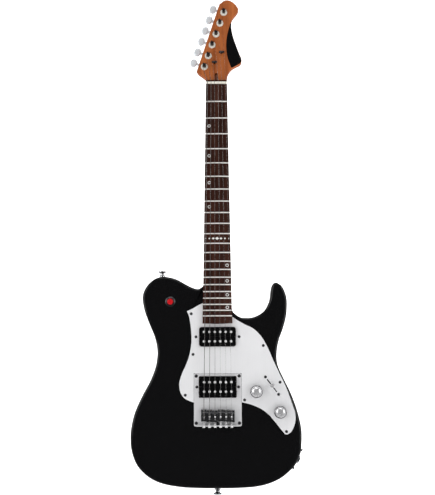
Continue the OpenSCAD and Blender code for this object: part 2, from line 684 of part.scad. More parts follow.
BRIDGE_SCREWS = concat(
    [for (x = [-1, 1], z = [plate_top_z - 4.5, plate_end_z + 6]) [x * (plate_w / 2 - 4.3), z]],
    [[0, plate_end_z + 5]]);
screw_y = -plate_t - 4.4;
module bridge_plate() color("silver") difference() {
    union() {
        front(-plate_t, 0) translate([0, (plate_top_z + plate_end_z) / 2])
            round_box(plate_w, plate_l, 2.5);
        front(-plate_t - lip_h, 0) translate([-plate_w / 2 + 4, plate_end_z])
            square([plate_w - 8, 1.8]);
    }
    front(-plate_t - e, e) translate([0, bridge_pickup_z])
        round_box(pickup_w + 3.4, pickup_l + 4.8, 2);
    for (p = BRIDGE_SCREWS) facing_front(p, -plate_t) screw_room(BRIDGE_WOOD);
    for (s = [-1, 1]) facing_front([s * (pickup_ear - 1.6), bridge_pickup_z], -plate_t)
        screw_room(PANEL_MACHINE);
    for (i = [0 : 5]) {
        pin([bridge_x(i), hole_z], 3.4, -plate_t - e, e);
        translate([bridge_x(i), screw_y, plate_end_z - 1])
            cylinder(d = 2.9 + 2 * seat_gap, h = 4);
    }
}
module bridge_screws() color("gray") {
    for (p = BRIDGE_SCREWS) facing_front(p, -plate_t) screw(BRIDGE_WOOD);
}
module intonation_screws() color("silver") for (i = [0 : 5])
    translate([bridge_x(i), screw_y, plate_end_z]) difference() {
        union() {
            translate([0, 0, -2.4]) cylinder(d = 5.2, h = 2.4);
            translate([0, 0, -1]) cylinder(d = 2.9, h = hole_z - 2.6 - plate_end_z + 1);
        }
        for (a = [0, 90]) rotate(a) translate([-1.7, -0.4, -3]) cube([3.4, 0.8, 1.8]);
    }

saddle_w = string_pitch - 0.3;
saddle_front = -scale_len + 2.6;
saddle_rear = -scale_len - 20.5;
saddle_wall = 4;
crown_y = saddle_y + max(STRING_R) + clear_gap;
// The saddles pass over the heads of the bridge's screws
saddle_foot = -plate_t - 0.21 * BRIDGE_WOOD[0] - clear_gap;
module saddle(i) color("gainsboro") translate([bridge_x(i), 0, SADDLE_SHIFT[i]]) {
    grub = [for (s = [-1, 1]) s * (saddle_w / 2 - 1.7)];
    difference() {
        translate([-saddle_w / 2, 0, 0]) rotate([90, 0, 90]) linear_extrude(saddle_w)
            polygon([[saddle_foot, saddle_front], [-9, saddle_front], [-11.6, saddle_front - 0.6],
                [crown_y + 0.4, saddle_front - 1.6], [crown_y, saddle_front - 2.6],
                [crown_y + 0.3, saddle_front - 4.4], [-11, saddle_front - 6],
                [-10, saddle_front - 8], [-10, saddle_rear], [saddle_foot, saddle_rear]]);
        // way for the string, and the threaded hole behind it
        translate([-1.7, -30, saddle_rear + saddle_wall])
            cube([3.4, 40, hole_z + 8.2 - saddle_rear - saddle_wall]);
        translate([0, screw_y, saddle_rear - 1])
            cylinder(d = 2.9 + 2 * run_gap, h = saddle_wall + 2);
        for (x = grub) pin([x, saddle_front - 2.6], 2.4 + 2 * seat_gap, -20, 0);
    }
    for (x = grub) difference() {
        pin([x, saddle_front - 2.6], 2.4, crown_y + 0.6, -plate_t - run_gap);
        front(-20, crown_y + 2) translate([x, saddle_front - 2.6]) circle(d = 1.3, $fn = 6);
    }
}

module string_ferrules() color("silver") for (i = [0 : 5]) difference() {
    union() {
        pin([bridge_x(i), hole_z], 8, body_t - 9, body_t);
        pin([bridge_x(i), hole_z], 9.6, body_t, body_t + 0.9);
    }
    pin([bridge_x(i), hole_z], 3, body_t - 10, body_t + 2);
    pin([bridge_x(i), hole_z], 4.6, body_t - 5, body_t + 2);
}

// ---- strings ----

wrap_y = head_face - 9;
// Rings across a route of points; the ring's plane halves the angle at each point
function unit(v) = v / norm(v);
function route_ring(pts, i, r) = let (
    m = len(pts) - 1,
    t = unit(pts[min(i + 1, m)] - pts[max(i - 1, 0)]),
    side = unit(cross(abs(t[0]) > 0.9 ? [0, 0, 1] : [1, 0, 0], t)),
    up = cross(t, side))
    [for (k = [0 : 7]) pts[i] + r * (cos(45 * k) * up + sin(45 * k) * side)];
module tube(pts, r) {
    loft([for (i = [0 : len(pts) - 1]) route_ring(pts, i, r)]);
}
// From the ferrule through the body, over the saddle and the nut, and round the post
function string_route(i) = let (
    r = STRING_R[i],
    x = bridge_x(i),
    p = post_at(i),
    wr = (post_d / 2 + r + 0.1) / cos(15),
    from = [nut_x(i), nut_t],
    gap = p - from,
    leave = atan2(gap[1], gap[0]) - acos(wr / norm(gap)) + 180,
    turns = 3)
    concat(
        [[x, body_t - 5.5, hole_z], [x, saddle_y + 4, hole_z]],
        [for (a = [22.5 : 22.5 : 90]) [x, saddle_y + 3 * (1 - sin(a)), hole_z + 3 * (1 - cos(a))]],
        [[nut_x(i), nut_y, 0], [nut_x(i), nut_y, nut_t]],
        [for (k = [0 : 12 * turns]) [p[0] + wr * cos(leave + 30 * k),
            wrap_y + (2 * r + 0.1) * k / 12, p[1] + wr * sin(leave + 30 * k)]]);
module strings() color("silver") for (i = [0 : 5]) tube(string_route(i), STRING_R[i]);

// ---- pickups ----

bobbin_h = 11;
pickup_top = -pickup_rise;
bobbin_back = pickup_top + bobbin_h;
magnet_t = 3;
base_y = bobbin_back + magnet_t;
pole_pitch = string_pitch - 0.2;
pole_d = 4.8;
bobbin_l = pickup_l / 2 - 0.4;
module at_rows() {
    for (p = PICKUPS, s = [-1, 1]) translate([0, 0, p[0] + s * row_gap / 2]) children();
}
// The screw poles are on the side away from the other pickup's slugs
module pole_spots(screws) {
    for (p = PICKUPS, k = [-2.5 : 2.5])
        translate([k * pole_pitch, 0, p[0] + (screws ? 1 : -1) * p[1] * row_gap / 2]) children();
}
module pickup_bobbins() color([0.05, 0.05, 0.05]) difference() {
    at_rows() {
        front(pickup_top, pickup_top + 1.6) round_box(pickup_w, bobbin_l, 3);
        front(pickup_top, bobbin_back) round_box(62, 6.6, 3.2);
        front(bobbin_back - 1.4, bobbin_back) round_box(pickup_w, bobbin_l, 3);
    }
    pole_spots(true) front(pickup_top - e, bobbin_back + e) circle(d = 3.1);
    pole_spots(false) front(pickup_top - e, bobbin_back + e) circle(d = pole_d + 0.06);
}
module pickup_coils() color([0.6, 0.3, 0.15]) at_rows() difference() {
    front(pickup_top + 1.7, bobbin_back - 1.5) round_box(67, 14.6, 6);
    front(pickup_top + 1, bobbin_back) round_box(62.2, 6.8, 3.3);
}
module pickup_poles() color("silver") {
    pole_spots(true) difference() {
        union() {
            front(pickup_top - 1.4, pickup_top - 0.02) circle(d = 4.6);
            front(pickup_top - 1, base_y + 6) circle(d = 3);
        }
        translate([-3, pickup_top - 2, -0.4]) cube([6, 1.4, 0.8]);
    }
    pole_spots(false) front(pickup_top - 0.5, base_y - 0.02) circle(d = pole_d);
}
module pickup_magnets() color([0.25, 0.25, 0.27]) for (p = PICKUPS)
    translate([-31, bobbin_back + 0.02, p[0] - (row_gap - pole_d) / 2 + 0.1])
        cube([62, magnet_t - 0.04, row_gap - pole_d - 0.2]);
function ear(p) = p[1] > 0 ? pickup_ear : pickup_ear - 1.6;
module pickup_bases() color("tan") difference() {
    for (p = PICKUPS) translate([0, 0, p[0]]) {
        front(base_y, base_y + 1.2) square([71, pickup_l - 1], center = true);
        for (s = [-1, 1]) {
            translate([s * 35 - 0.6, base_y, -8]) cube([1.2, 5, 16]);
            front(base_y + 4, base_y + 5.2) translate([s * (35 + ear(p) + 3.4) / 2, 0])
                square([ear(p) + 3.4 - 35 + 1.2, 16], center = true);
        }
    }
    pole_spots(true) front(base_y - 1, base_y + 3) circle(d = 3.1);
    for (p = PICKUPS, s = [-1, 1]) pin([s * ear(p), p[0]], PANEL_MACHINE[1] + 2 * run_gap,
        base_y + 3, base_y + 7);
}
function height_screw(p) = [PANEL_MACHINE[0], PANEL_MACHINE[1], base_y + 8];
module machine_screws() color("silver") {
    for (p = PICKUPS, s = [-1, 1])
        facing_front([s * ear(p), p[0]], p[1] > 0 ? -guard_t : -plate_t) screw(height_screw(p));
    at_switch() for (s = [-1, 1]) translate([s * switch_pitch / 2, 0, guard_t])
        screw(PANEL_MACHINE);
}

// ---- controls ----

module control_pots() color("gray") for (p = [volume_at, tone_at]) difference() {
    union() {
        pin(p, pot_d, 1, 1 + pot_h);
        pin(p, bush_d, -guard_t - 3.4, 1.2);
        front(1, 2.4) translate(p - [0, pot_d / 2 + 1]) square([12, 5], center = true);
    }
    pin(p, shaft_d + 2 * run_gap, -20, 8);
}
module shaft(p) color("silver") pin(p, shaft_d, -guard_t - 15, 7.5);
module volume_shaft() shaft(volume_at);
module tone_shaft() shaft(tone_at);

// Domed knob with a fine knurl round its side
module knob(p) color("gainsboro") facing_front(p, -guard_t - knob_lift + 0.6) difference() {
    rotate_extrude($fn = 64) polygon(concat([[0, 0], [knob_d / 2, 0], [knob_d / 2, knob_h * 0.56]],
        [for (a = [15 : 15 : 90]) [(knob_d / 2 - 0.6) * cos(a) , knob_h * (0.56 + 0.44 * sin(a))]]));
    for (a = [0 : 10 : 350]) rotate(a) translate([knob_d / 2, 0, 1]) rotate(45)
        cube([0.7, 0.7, knob_h], center = true);
    translate([0, 0, -e]) cylinder(d = shaft_d, h = 13);
    translate([0, 0, -e]) cylinder(d = 15.5, h = 4.2);
}
module volume_knob() knob(volume_at);
module tone_knob() knob(tone_at);

// The switch's frame: local X runs along the slot, local Z out of the front
module at_switch() {
    translate([switch_at[0], 0, switch_at[1]]) rotate([90, slot_tilt, 0]) children();
}
module switch_frame() color("gray") at_switch() difference() {
    union() {
        translate([-switch_pitch / 2 - 4, -6.5, -1.5]) cube([switch_pitch + 8, 13, 1.5]);
        for (s = [-1, 1]) translate([-15, s * 5.5 - 0.75, -27]) cube([30, 1.5, 26]);
        translate([0, 5.5, -pivot_y]) rotate([90, 0, 0]) cylinder(d = 3, h = 11);
    }
    translate([-16, -1.6, -2]) cube([32, 3.2, 3]);
    for (s = [-1, 1]) translate([s * switch_pitch / 2, 0, guard_t]) screw_room(PANEL_MACHINE);
}
module switch_lever() color("silver") at_switch() translate([0, 0, -pivot_y]) difference() {
    union() {
        rotate([90, 0, 0]) cylinder(d = 9, h = 1.4, center = true);
        translate([-2.4, -0.7, 0]) cube([4.8, 1.4, pivot_y + tip_from + 6 - e]);
    }
    rotate([90, 0, 0]) cylinder(d = 3 + 2 * run_gap, h = 4, center = true);
}
// The tip starts where it still clears the pickguard at the end of its swing
tip_r = 3.4;
tip_from = (pivot_y + guard_t + clear_gap + tip_r * sin(switch_swing)) / cos(switch_swing) - pivot_y;
module switch_tip() color("gainsboro") at_switch() translate([0, 0, tip_from]) difference() {
    rotate_extrude() polygon([[0, 0], [tip_r, 0], [tip_r + 1, 2.6], [tip_r + 0.8, 6.8],
        [tip_r - 0.2, 8.2], [0, 8.8]]);
    translate([-2.4, -0.7, -e]) cube([4.8, 1.4, 6]);
}

module kill_switch() color("gainsboro") difference() {
    union() {
        facing_front(kill_at, 0) rotate_extrude() polygon([[0, 0], [button_d / 2 + 4, 0],
            [button_d / 2 + 3.7, 0.8], [button_d / 2 + 1.2, 2.2], [0, 2.2]]);
        pin(kill_at, button_d + 3.6, -e, 24);
    }
    pin(kill_at, button_d + 2 * run_gap, -5, 21);
}
module kill_button() color("red") facing_front(kill_at, 0) rotate_extrude() polygon([[0, -14],
    [button_d / 2, -14], [button_d / 2, 3.6], [button_d / 2 - 0.7, 4.6], [button_d / 4, 5.1],
    [0, 5.2]]);

// ---- the nodes ----

body();
neck();
fingerboard();
frets();
nut();
inlays();
truss_rod();
string_trees();
headstock_screws();
neck_plate();
neck_screws();
strap_buttons();
strap_button_screws();
pickguard();
cover_screws();
rear_cover();
jack_plate();
jack_socket();
panel_nuts();
bridge_plate();
bridge_screws();
intonation_screws();
string_ferrules();
strings();
pickup_bases();
pickup_bobbins();
pickup_coils();
pickup_poles();
pickup_magnets();
machine_screws();
control_pots();
volume_shaft();
volume_knob();
tone_shaft();
tone_knob();
switch_frame();
switch_lever();
switch_tip();
kill_switch();
kill_button();
tuner_housings();
tuner_bushings();
for (i = [0 : 5]) {
    tuner_key(i);
    tuner_post(i);
    saddle(i);
}
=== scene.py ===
# %% [markdown]
# # A six-string electric guitar
# The guitar is drawn first in CAD, where every piece is a solid with its real size, and the
# moving pieces have joints. This lesson dresses that model in Blender: each piece gets soft
# edges, its own surface, and the small detail that the drawing leaves out. The drawing is
# loaded as a fixed frame, and every new piece is built in the same place, in metres.
# X runs to the treble side, Z up the neck, and the front faces -Y.

# %% Load the frame
import json
import math

import bmesh
import bpy
import numpy as np
from mathutils import Matrix, Vector

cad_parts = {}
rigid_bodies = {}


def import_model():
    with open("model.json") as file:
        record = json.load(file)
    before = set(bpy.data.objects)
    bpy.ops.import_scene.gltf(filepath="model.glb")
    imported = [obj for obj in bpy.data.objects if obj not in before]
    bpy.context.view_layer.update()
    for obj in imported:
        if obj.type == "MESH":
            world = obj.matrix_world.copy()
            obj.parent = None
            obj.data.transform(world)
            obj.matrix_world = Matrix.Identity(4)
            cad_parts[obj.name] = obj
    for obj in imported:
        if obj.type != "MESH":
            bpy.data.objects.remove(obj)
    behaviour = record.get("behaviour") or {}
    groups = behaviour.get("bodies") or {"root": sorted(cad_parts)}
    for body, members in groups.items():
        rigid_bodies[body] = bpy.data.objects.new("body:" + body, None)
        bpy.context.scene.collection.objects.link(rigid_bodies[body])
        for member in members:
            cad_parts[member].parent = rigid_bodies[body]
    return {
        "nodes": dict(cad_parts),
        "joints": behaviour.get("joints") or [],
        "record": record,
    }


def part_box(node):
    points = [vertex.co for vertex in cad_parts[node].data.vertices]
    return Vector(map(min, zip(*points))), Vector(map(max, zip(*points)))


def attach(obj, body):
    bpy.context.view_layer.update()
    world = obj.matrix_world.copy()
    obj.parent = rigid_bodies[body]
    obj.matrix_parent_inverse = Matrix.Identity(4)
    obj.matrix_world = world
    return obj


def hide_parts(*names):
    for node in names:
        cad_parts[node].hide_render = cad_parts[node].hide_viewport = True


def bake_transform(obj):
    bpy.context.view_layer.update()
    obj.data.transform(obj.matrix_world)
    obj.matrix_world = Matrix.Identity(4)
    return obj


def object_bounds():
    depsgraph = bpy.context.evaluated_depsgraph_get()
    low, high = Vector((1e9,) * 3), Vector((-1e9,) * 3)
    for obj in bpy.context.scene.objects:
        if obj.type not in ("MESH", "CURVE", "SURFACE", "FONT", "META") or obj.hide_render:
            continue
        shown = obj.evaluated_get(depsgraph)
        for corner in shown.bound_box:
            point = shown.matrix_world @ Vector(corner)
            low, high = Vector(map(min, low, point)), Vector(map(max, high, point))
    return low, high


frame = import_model()
cad_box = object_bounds()
MM = 0.001
nodes = frame["nodes"]
joints = {j["name"]: j for j in frame["joints"]}

# %% [markdown]
# The camera stands a little below the middle of the guitar and looks slightly up, as for a
# full-length portrait. A long lens keeps the straight neck straight. The tiny roll lets the
# head lean by a quarter of a degree.

# %% Camera
LOOK_UP = math.radians(8.387)
ROLL = math.radians(0.246055)
LENS, CAMERA_AT = 68.80, (0.0007, -1.8422, -0.6026)
right = Vector((1, 0, 0))
ahead = Vector((0, math.cos(LOOK_UP), math.sin(LOOK_UP)))
above = Vector((0, -math.sin(LOOK_UP), math.cos(LOOK_UP)))
cam_right = right * math.cos(ROLL) - above * math.sin(ROLL)
cam_up = right * math.sin(ROLL) + above * math.cos(ROLL)

camera = bpy.data.objects.new("camera", bpy.data.cameras.new("camera"))
bpy.context.scene.collection.objects.link(camera)
camera.data.lens = LENS
camera.data.sensor_width = 36
camera.data.clip_end = 50
axes = Matrix((cam_right, cam_up, -ahead)).transposed().to_4x4()
camera.matrix_world = Matrix.Translation(CAMERA_AT) @ axes
bpy.context.scene.camera = camera
print("camera", [round(v, 3) for v in camera.location])

# %% [markdown]
# Three helpers serve the whole lesson: one links a new mesh or light to the scene, one makes
# a mesh from points, and one adds a node to any tree. An input of a node is either another
# node's output, which is linked, or a plain value.
#
# A material here is a Principled shader with a few textures in front of it. Small helpers
# keep the wiring short: one gives the piece's own coordinates, stretched, and the others
# make a noise, map a value to a new range, or turn it into a colour or a bump. Numbers that
# are the same all over are set straight on the shader.

# %% Helpers for objects, nodes and materials
def new_object(name, data):
    """Links a mesh or a light to the scene as an object of that name."""
    obj = bpy.data.objects.new(name, data)
    bpy.context.scene.collection.objects.link(obj)
    return obj


def mesh_from(name, points, faces=(), edges=()):
    mesh = bpy.data.meshes.new(name)
    mesh.from_pydata([tuple(p) for p in points], edges, faces)
    mesh.update()
    return mesh


def put(tree, kind, settings=None, **inputs):
    """Adds a node and returns its first live output; _0, _1 name an input by its number."""
    node = tree.nodes.new(kind)
    for key, value in (settings or {}).items():
        setattr(node, key, value)
    for key, value in inputs.items():
        if key[0] == "_":
            socket = node.inputs[int(key[1:])]
        else:
            label = key.replace("_", " ")
            socket = next(s for s in node.inputs if s.name == label and s.enabled)
        if isinstance(value, bpy.types.NodeSocket):
            tree.links.new(value, socket)
        else:
            socket.default_value = value
    return next(s for s in node.outputs if s.enabled)


def material(name, color, rough, metal=0.0, **more):
    """A Principled material with its constant values set on the shader itself."""
    mat = bpy.data.materials.new(name)
    mat.use_nodes = True
    bsdf = mat.node_tree.nodes["Principled BSDF"]
    values = {"Base Color": (*color, 1), "Roughness": rough, "Metallic": metal}
    values.update({key.replace("_", " "): value for key, value in more.items()})
    for key, value in values.items():
        bsdf.inputs[key].default_value = value
    return mat


def place(mat, scale=(1, 1, 1)):
    """The piece's own coordinates in metres, stretched."""
    source = put(mat.node_tree, "ShaderNodeTexCoord").node.outputs["Object"]
    return put(mat.node_tree, "ShaderNodeMapping", Vector=source, Scale=scale)


def noise(mat, vector, scale, detail=3.0, distortion=0.0, rough=0.5):
    return put(mat.node_tree, "ShaderNodeTexNoise", Vector=vector, Scale=scale, Detail=detail,
               Distortion=distortion, Roughness=rough)


def blend(mat, a, b, share):
    """Two values mixed, with that share of the second."""
    return put(mat.node_tree, "ShaderNodeMix", Factor=share, A=a, B=b)


def spread(mat, value, low, high, start=0.3, end=0.7):
    """Maps a texture's value from start..end to low..high."""
    return put(mat.node_tree, "ShaderNodeMapRange", Value=value, From_Min=start, From_Max=end,
               To_Min=low, To_Max=high)


def ramp(mat, value, stops):
    """A colour ramp through (place, colour) stops."""
    output = put(mat.node_tree, "ShaderNodeValToRGB", Fac=value)
    bar = output.node.color_ramp.elements
    while len(bar) < len(stops):
        bar.new(0.5)
    for element, (at, color) in zip(bar, stops):
        element.position = at
        element.color = (*color, 1)
    return output


def bump(mat, height, distance, strength):
    return put(mat.node_tree, "ShaderNodeBump", Height=height, Distance=distance, Strength=strength)


def wire(mat, source, name):
    """Links a texture to one input of the material's shader."""
    mat.node_tree.links.new(source, mat.node_tree.nodes["Principled BSDF"].inputs[name])


print("helpers ready")

# %% [markdown]
# Black lacquer and chrome show what stands around them, so the light is planned from the
# reflections. A white sweep behind and below gives a plain ground, which the polished pieces
# don't mirror. The room in front stays dark grey, which keeps the lacquer black, and large
# soft lights at the sides and above fill the pale metal.

# %% Sweep and lights
FLOOR_Z, TOP_Z = cad_box[0].z - 0.05, 4.0
FRONT_Y, WALL_Y, HALF_WIDE = -4.0, 3.4, 5.0
BEND = 0.6
profile = [(FRONT_Y, FLOOR_Z), (WALL_Y - BEND, FLOOR_Z)]
profile += [(WALL_Y - BEND + BEND * math.sin(a), FLOOR_Z + BEND - BEND * math.cos(a))
            for a in np.linspace(0, math.pi / 2, 13)[1:]]
profile += [(WALL_Y, TOP_Z)]
points = [(x, y, z) for y, z in profile for x in (-HALF_WIDE, HALF_WIDE)]
faces = [(2 * k, 2 * k + 1, 2 * k + 3, 2 * k + 2) for k in range(len(profile) - 1)]
sweep = new_object("sweep", mesh_from("sweep", points, faces))
sweep.data.materials.append(material("sweep_white", (0.8, 0.8, 0.8), 0.9,
                                     Emission_Color=(1, 1, 1, 1), Emission_Strength=1.0))
# only plain sight and soft light reach the sweep, or the lacquer would mirror the floor
sweep.visible_glossy = False

# the room is dark straight in front of the guitar and pale at its sides, and plain white
# where the camera sees it
world = bpy.data.worlds.new("room")
bpy.context.scene.world = world
world.use_nodes = True
tree = world.node_tree
seen = put(tree, "ShaderNodeTexCoord").node.outputs["Generated"]
depth = put(tree, "ShaderNodeSeparateXYZ", Vector=seen).node.outputs["Y"]
room = ramp(world, put(tree, "ShaderNodeMapRange", Value=depth, From_Min=-1.0),
            [(0.06, (0.05, 0.05, 0.052)), (0.42, (0.34, 0.34, 0.35))])
plain = put(tree, "ShaderNodeMix", {"data_type": "RGBA"}, A=room, B=(1, 1, 1, 1),
            Factor=put(tree, "ShaderNodeLightPath").node.outputs["Is Camera Ray"])
tree.links.new(plain, tree.nodes["Background"].inputs["Color"])
bpy.context.scene.view_settings.view_transform = "Standard"


MIDDLE = (0, 0, -0.35)


def softbox(name, spot, size, power):
    """A rectangular light that faces the middle of the guitar."""
    lamp = bpy.data.lights.new(name, "AREA")
    lamp.shape = "RECTANGLE"
    lamp.size, lamp.size_y = size
    lamp.energy = power
    obj = new_object(name, lamp)
    obj.location = spot
    aim = Vector(MIDDLE) - Vector(spot)
    obj.rotation_euler = aim.to_track_quat("-Z", "Y").to_euler()
    return obj


softbox("light_left", (-2.3, -1.7, 0.3), (1.2, 2.4), 28)
softbox("light_right", (2.3, -1.7, 0.1), (1.2, 2.4), 23)
softbox("light_top", (0, -1.6, 2.1), (2.2, 1.0), 16)

# %% [markdown]
# Lacquer on the body is thick, black and polished. Up close it isn't a perfect mirror: the
# surface rolls a little, like orange peel, and the shine changes where it has been wiped.
# Both are faint, so each is one soft noise.

# %% Lacquer
lacquer = material("black_lacquer", (0.0035, 0.0035, 0.0038), 0.1, IOR=1.42)
skin = place(lacquer)
wire(lacquer, spread(lacquer, noise(lacquer, skin, 14, 4), 0.07, 0.14), "Roughness")
wire(lacquer, bump(lacquer, noise(lacquer, skin, 170, 2), 0.00003, 0.35), "Normal")
print(lacquer.name)

# %% [markdown]
# The neck and the head are roasted maple: an even orange brown with long dark streaks that
# run up the neck, and finer lines between them. Noise stretched along Z gives both. The
# satin finish keeps the pores as faint grooves. The fingerboard is rosewood, almost black,
# with open pores and a few red streaks.

# %% Woods
def wood(name, stops, rough, streak, pore_depth, shine, pore=1.0):
    """Wood with its grain along Z: stops are the colours from the dark lines to the light."""
    mat = material(name, stops[-1][1], rough[0], Specular_IOR_Level=shine)
    broad = noise(mat, place(mat, (1, 1, 0.045)), streak, 5, 1.4, 0.62)
    lines = noise(mat, place(mat, (1, 1, 0.02)), streak * 9, 4, 0.4, 0.7)
    wire(mat, ramp(mat, blend(mat, broad, lines, 0.35), stops), "Base Color")
    wire(mat, spread(mat, lines, *rough), "Roughness")
    pores = noise(mat, place(mat, (1, 1, 0.05)), 2600 * pore, 2, 0.2, 0.6)
    wire(mat, bump(mat, pores, pore_depth, 0.6), "Normal")
    return mat


maple = wood(
    "roasted_maple",
    [(0.30, (0.10, 0.022, 0.006)), (0.42, (0.27, 0.068, 0.016)), (0.54, (0.40, 0.112, 0.028)),
     (0.70, (0.50, 0.155, 0.042))],
    (0.38, 0.52), 46, 0.00006, 0.25)
rosewood = wood(
    "rosewood",
    [(0.28, (0.008, 0.003, 0.002)), (0.45, (0.026, 0.009, 0.006)),
     (0.60, (0.052, 0.018, 0.011)), (0.74, (0.10, 0.036, 0.021))],
    (0.5, 0.66), 95, 0.00012, 0.06, 0.7)
print(maple.name, rosewood.name)

# %% [markdown]
# Metals differ by how they were finished. The pickguard is brushed aluminium with a clear
# coat: fine straight lines along one direction. The bridge plate is blasted and plated, so
# it is satin with no direction. Chrome is a mirror with a few finger marks. The frets and
# the screws are polished but worn. One function covers them all: a colour, a range of
# roughness, the way the fine lines are stretched, and the share of bare metal. A clear coat
# or a worn skin lowers that share, and the piece then looks pale in a dark room.

# %% Metals
def metal(name, color, rough, lines=(1, 1, 1), fine=900, depth=0.00001, blotch=60, share=1.0):
    """Metal whose fine lines are stretched by lines and whose mirror is cut to a share."""
    mat = material(name, color, rough[0], share)
    hair = noise(mat, place(mat, lines), fine, 3, 0.0, 0.65)
    marks = noise(mat, place(mat), blotch, 4, 0.6, 0.6)
    mixed = blend(mat, hair, marks, 0.5)
    wire(mat, spread(mat, mixed, *rough, start=0.35, end=0.65), "Roughness")
    shade = [tuple(c * k for c in color) for k in (0.95, 1.0)]
    wire(mat, ramp(mat, mixed, [(0.35, shade[0]), (0.62, shade[1])]), "Base Color")
    wire(mat, bump(mat, hair, depth, 0.5), "Normal")
    return mat


aluminium = metal("brushed_aluminium", (0.84, 0.84, 0.85), (0.5, 0.62), (1, 1, 0.02), 1500,
                  0.000012, 9, share=0.25)
satin_plate = metal("satin_nickel", (0.76, 0.76, 0.77), (0.36, 0.48), fine=2200, share=0.3)
chrome = metal("chrome", (0.80, 0.81, 0.82), (0.05, 0.14), fine=300, depth=0.000002)
spun_chrome = metal("spun_chrome", (0.86, 0.86, 0.87), (0.16, 0.3), fine=240, depth=0.00003,
                    blotch=150, share=0.7)
# a darker copy of the chrome for the knobs' knurled side and groove: painted shade
knurl_chrome = metal("knurl_chrome", (0.30, 0.30, 0.305), (0.14, 0.26), fine=900, depth=0.000004)
pale_chrome = metal("pale_chrome", (0.80, 0.84, 0.87), (0.22, 0.3), fine=2600, depth=0.000001,
                    blotch=30, share=0.2)
bright_nickel = metal("bright_nickel", (0.92, 0.89, 0.80), (0.22, 0.3), fine=2600, depth=0.000001,
                      blotch=30, share=0.35)
# the saddles' steel colour is darkened, partly as painted shade for the shadow that lies on them
saddle_steel = metal("saddle_steel", (0.30, 0.30, 0.31), (0.16, 0.3), fine=700)
fret_metal = metal("nickel_silver", (0.92, 0.90, 0.86), (0.24, 0.36), (0.05, 1, 1), 1800, 0.000006,
                   share=0.3)
steel = metal("bright_steel", (0.74, 0.74, 0.75), (0.14, 0.28), fine=900, depth=0.000005)
pole_steel = metal("pole_steel", (0.95, 0.95, 0.94), (0.2, 0.3), fine=900, share=0.3)
dark_steel = metal("dark_steel", (0.10, 0.10, 0.105), (0.25, 0.4), fine=900, depth=0.000006)
zinc = metal("zinc_plate", (0.56, 0.56, 0.54), (0.3, 0.5), fine=500, depth=0.00001)
cast = metal("cast_magnet", (0.16, 0.16, 0.17), (0.5, 0.75), fine=400, depth=0.00006)
nickel_strip = metal("nickel_strip", (0.66, 0.62, 0.52), (0.25, 0.4), (0.05, 1, 1), 900)
print(len(bpy.data.materials), "materials so far")

# %% [markdown]
# The other finishes: moulded black plastic with a fine grain, the polished bone-coloured
# nut, pearl with its drifting clouds, the glossy red cap of the kill button, and the copper
# windings. A wound string is a thin ribbed thread, so its material carries fine rings
# across the string's length.

# %% Plastics, pearl, copper and string wire
def moulded(name, color, rough, fine=1300, depth=0.000012, **more):
    """Moulded or polished material: an even colour with a fine grain in its skin."""
    mat = material(name, color, rough[0], **more)
    grain = noise(mat, place(mat), fine, 3)
    wire(mat, spread(mat, noise(mat, place(mat), 45, 4), *rough), "Roughness")
    tones = [tuple(c * k for c in color) for k in (0.86, 1.06)]
    wire(mat, ramp(mat, grain, [(0.3, tones[0]), (0.7, tones[1])]), "Base Color")
    wire(mat, bump(mat, grain, depth, 0.5), "Normal")
    return mat


black_plastic = moulded("black_plastic", (0.002, 0.002, 0.0022), (0.26, 0.38),
                        Specular_IOR_Level=0.15)
black_panel = moulded("black_head_panel", (0.003, 0.003, 0.0032), (0.16, 0.24), 300, 0.000006,
                      IOR=1.4)
bone = moulded("bone_nut", (0.80, 0.77, 0.68), (0.22, 0.34), 700)
red_cap = moulded("red_cap", (0.52, 0.006, 0.010), (0.12, 0.2), 400, 0.000006, Coat_Weight=0.5)
copper = metal("copper_wire", (0.62, 0.25, 0.10), (0.3, 0.45), (1, 0.06, 1), 2400, 0.00004)
walnut = moulded("walnut_plug", (0.15, 0.045, 0.016), (0.4, 0.6))

pearl = material("pearl", (0.82, 0.82, 0.80), 0.2, Coat_Weight=0.4)
cloud = noise(pearl, place(pearl), 420, 4, 2.5)
wire(pearl, ramp(pearl, cloud, [(0.35, (0.66, 0.72, 0.72)), (0.5, (0.88, 0.87, 0.84)),
                                (0.65, (0.80, 0.74, 0.72))]), "Base Color")
wire(pearl, spread(pearl, cloud, 0.14, 0.3), "Roughness")

wound = metal("wound_string", (0.26, 0.25, 0.24), (0.22, 0.34), fine=900)
rings = put(wound.node_tree, "ShaderNodeTexWave", {"bands_direction": "Z"}, Vector=place(wound),
            Scale=900.0).node.outputs["Fac"]
wire(wound, bump(wound, rings, 0.00012, 0.8), "Normal")
plain_string = metal("plain_string", (0.42, 0.42, 0.41), (0.12, 0.22), (1, 1, 0.05), 900)
print(len(bpy.data.materials), "materials in all")

# %% [markdown]
# A CAD solid has knife edges. Real ones are broken by a file, a mould or the plating, and
# that thin line of light is what makes a piece look made. This helper copies a CAD piece,
# joins its loose triangles, merges flat areas back into whole faces, rounds the edges that
# are sharper than a given angle, and shades the rest smoothly. The copy then stands for
# the CAD piece and moves with its body.

# %% Helper for softened copies
body_of = {n: b for b, names in frame["record"]["behaviour"]["bodies"].items() for n in names}
WELD, SLIVER = 2e-6, 1e-6
FLAT, SHARP_EDGE, SQUARE_EDGE = math.radians(0.4), math.radians(30), math.radians(60)


def merged(node):
    """A bmesh copy of a CAD piece: triangles joined, flat areas whole."""
    bm = bmesh.new()
    bm.from_mesh(nodes[node].data)
    bmesh.ops.remove_doubles(bm, verts=bm.verts, dist=WELD)
    bmesh.ops.dissolve_degenerate(bm, edges=bm.edges, dist=SLIVER)
    bmesh.ops.dissolve_limit(bm, angle_limit=FLAT, verts=bm.verts, edges=bm.edges)
    return bm


def smooth(bm, angle=38):
    """Smooth shading, broken at edges sharper than the angle."""
    limit = math.radians(angle)
    for face in bm.faces:
        face.smooth = True
    for edge in bm.edges:
        edge.smooth = not (edge.is_manifold and edge.calc_face_angle(0) > limit)


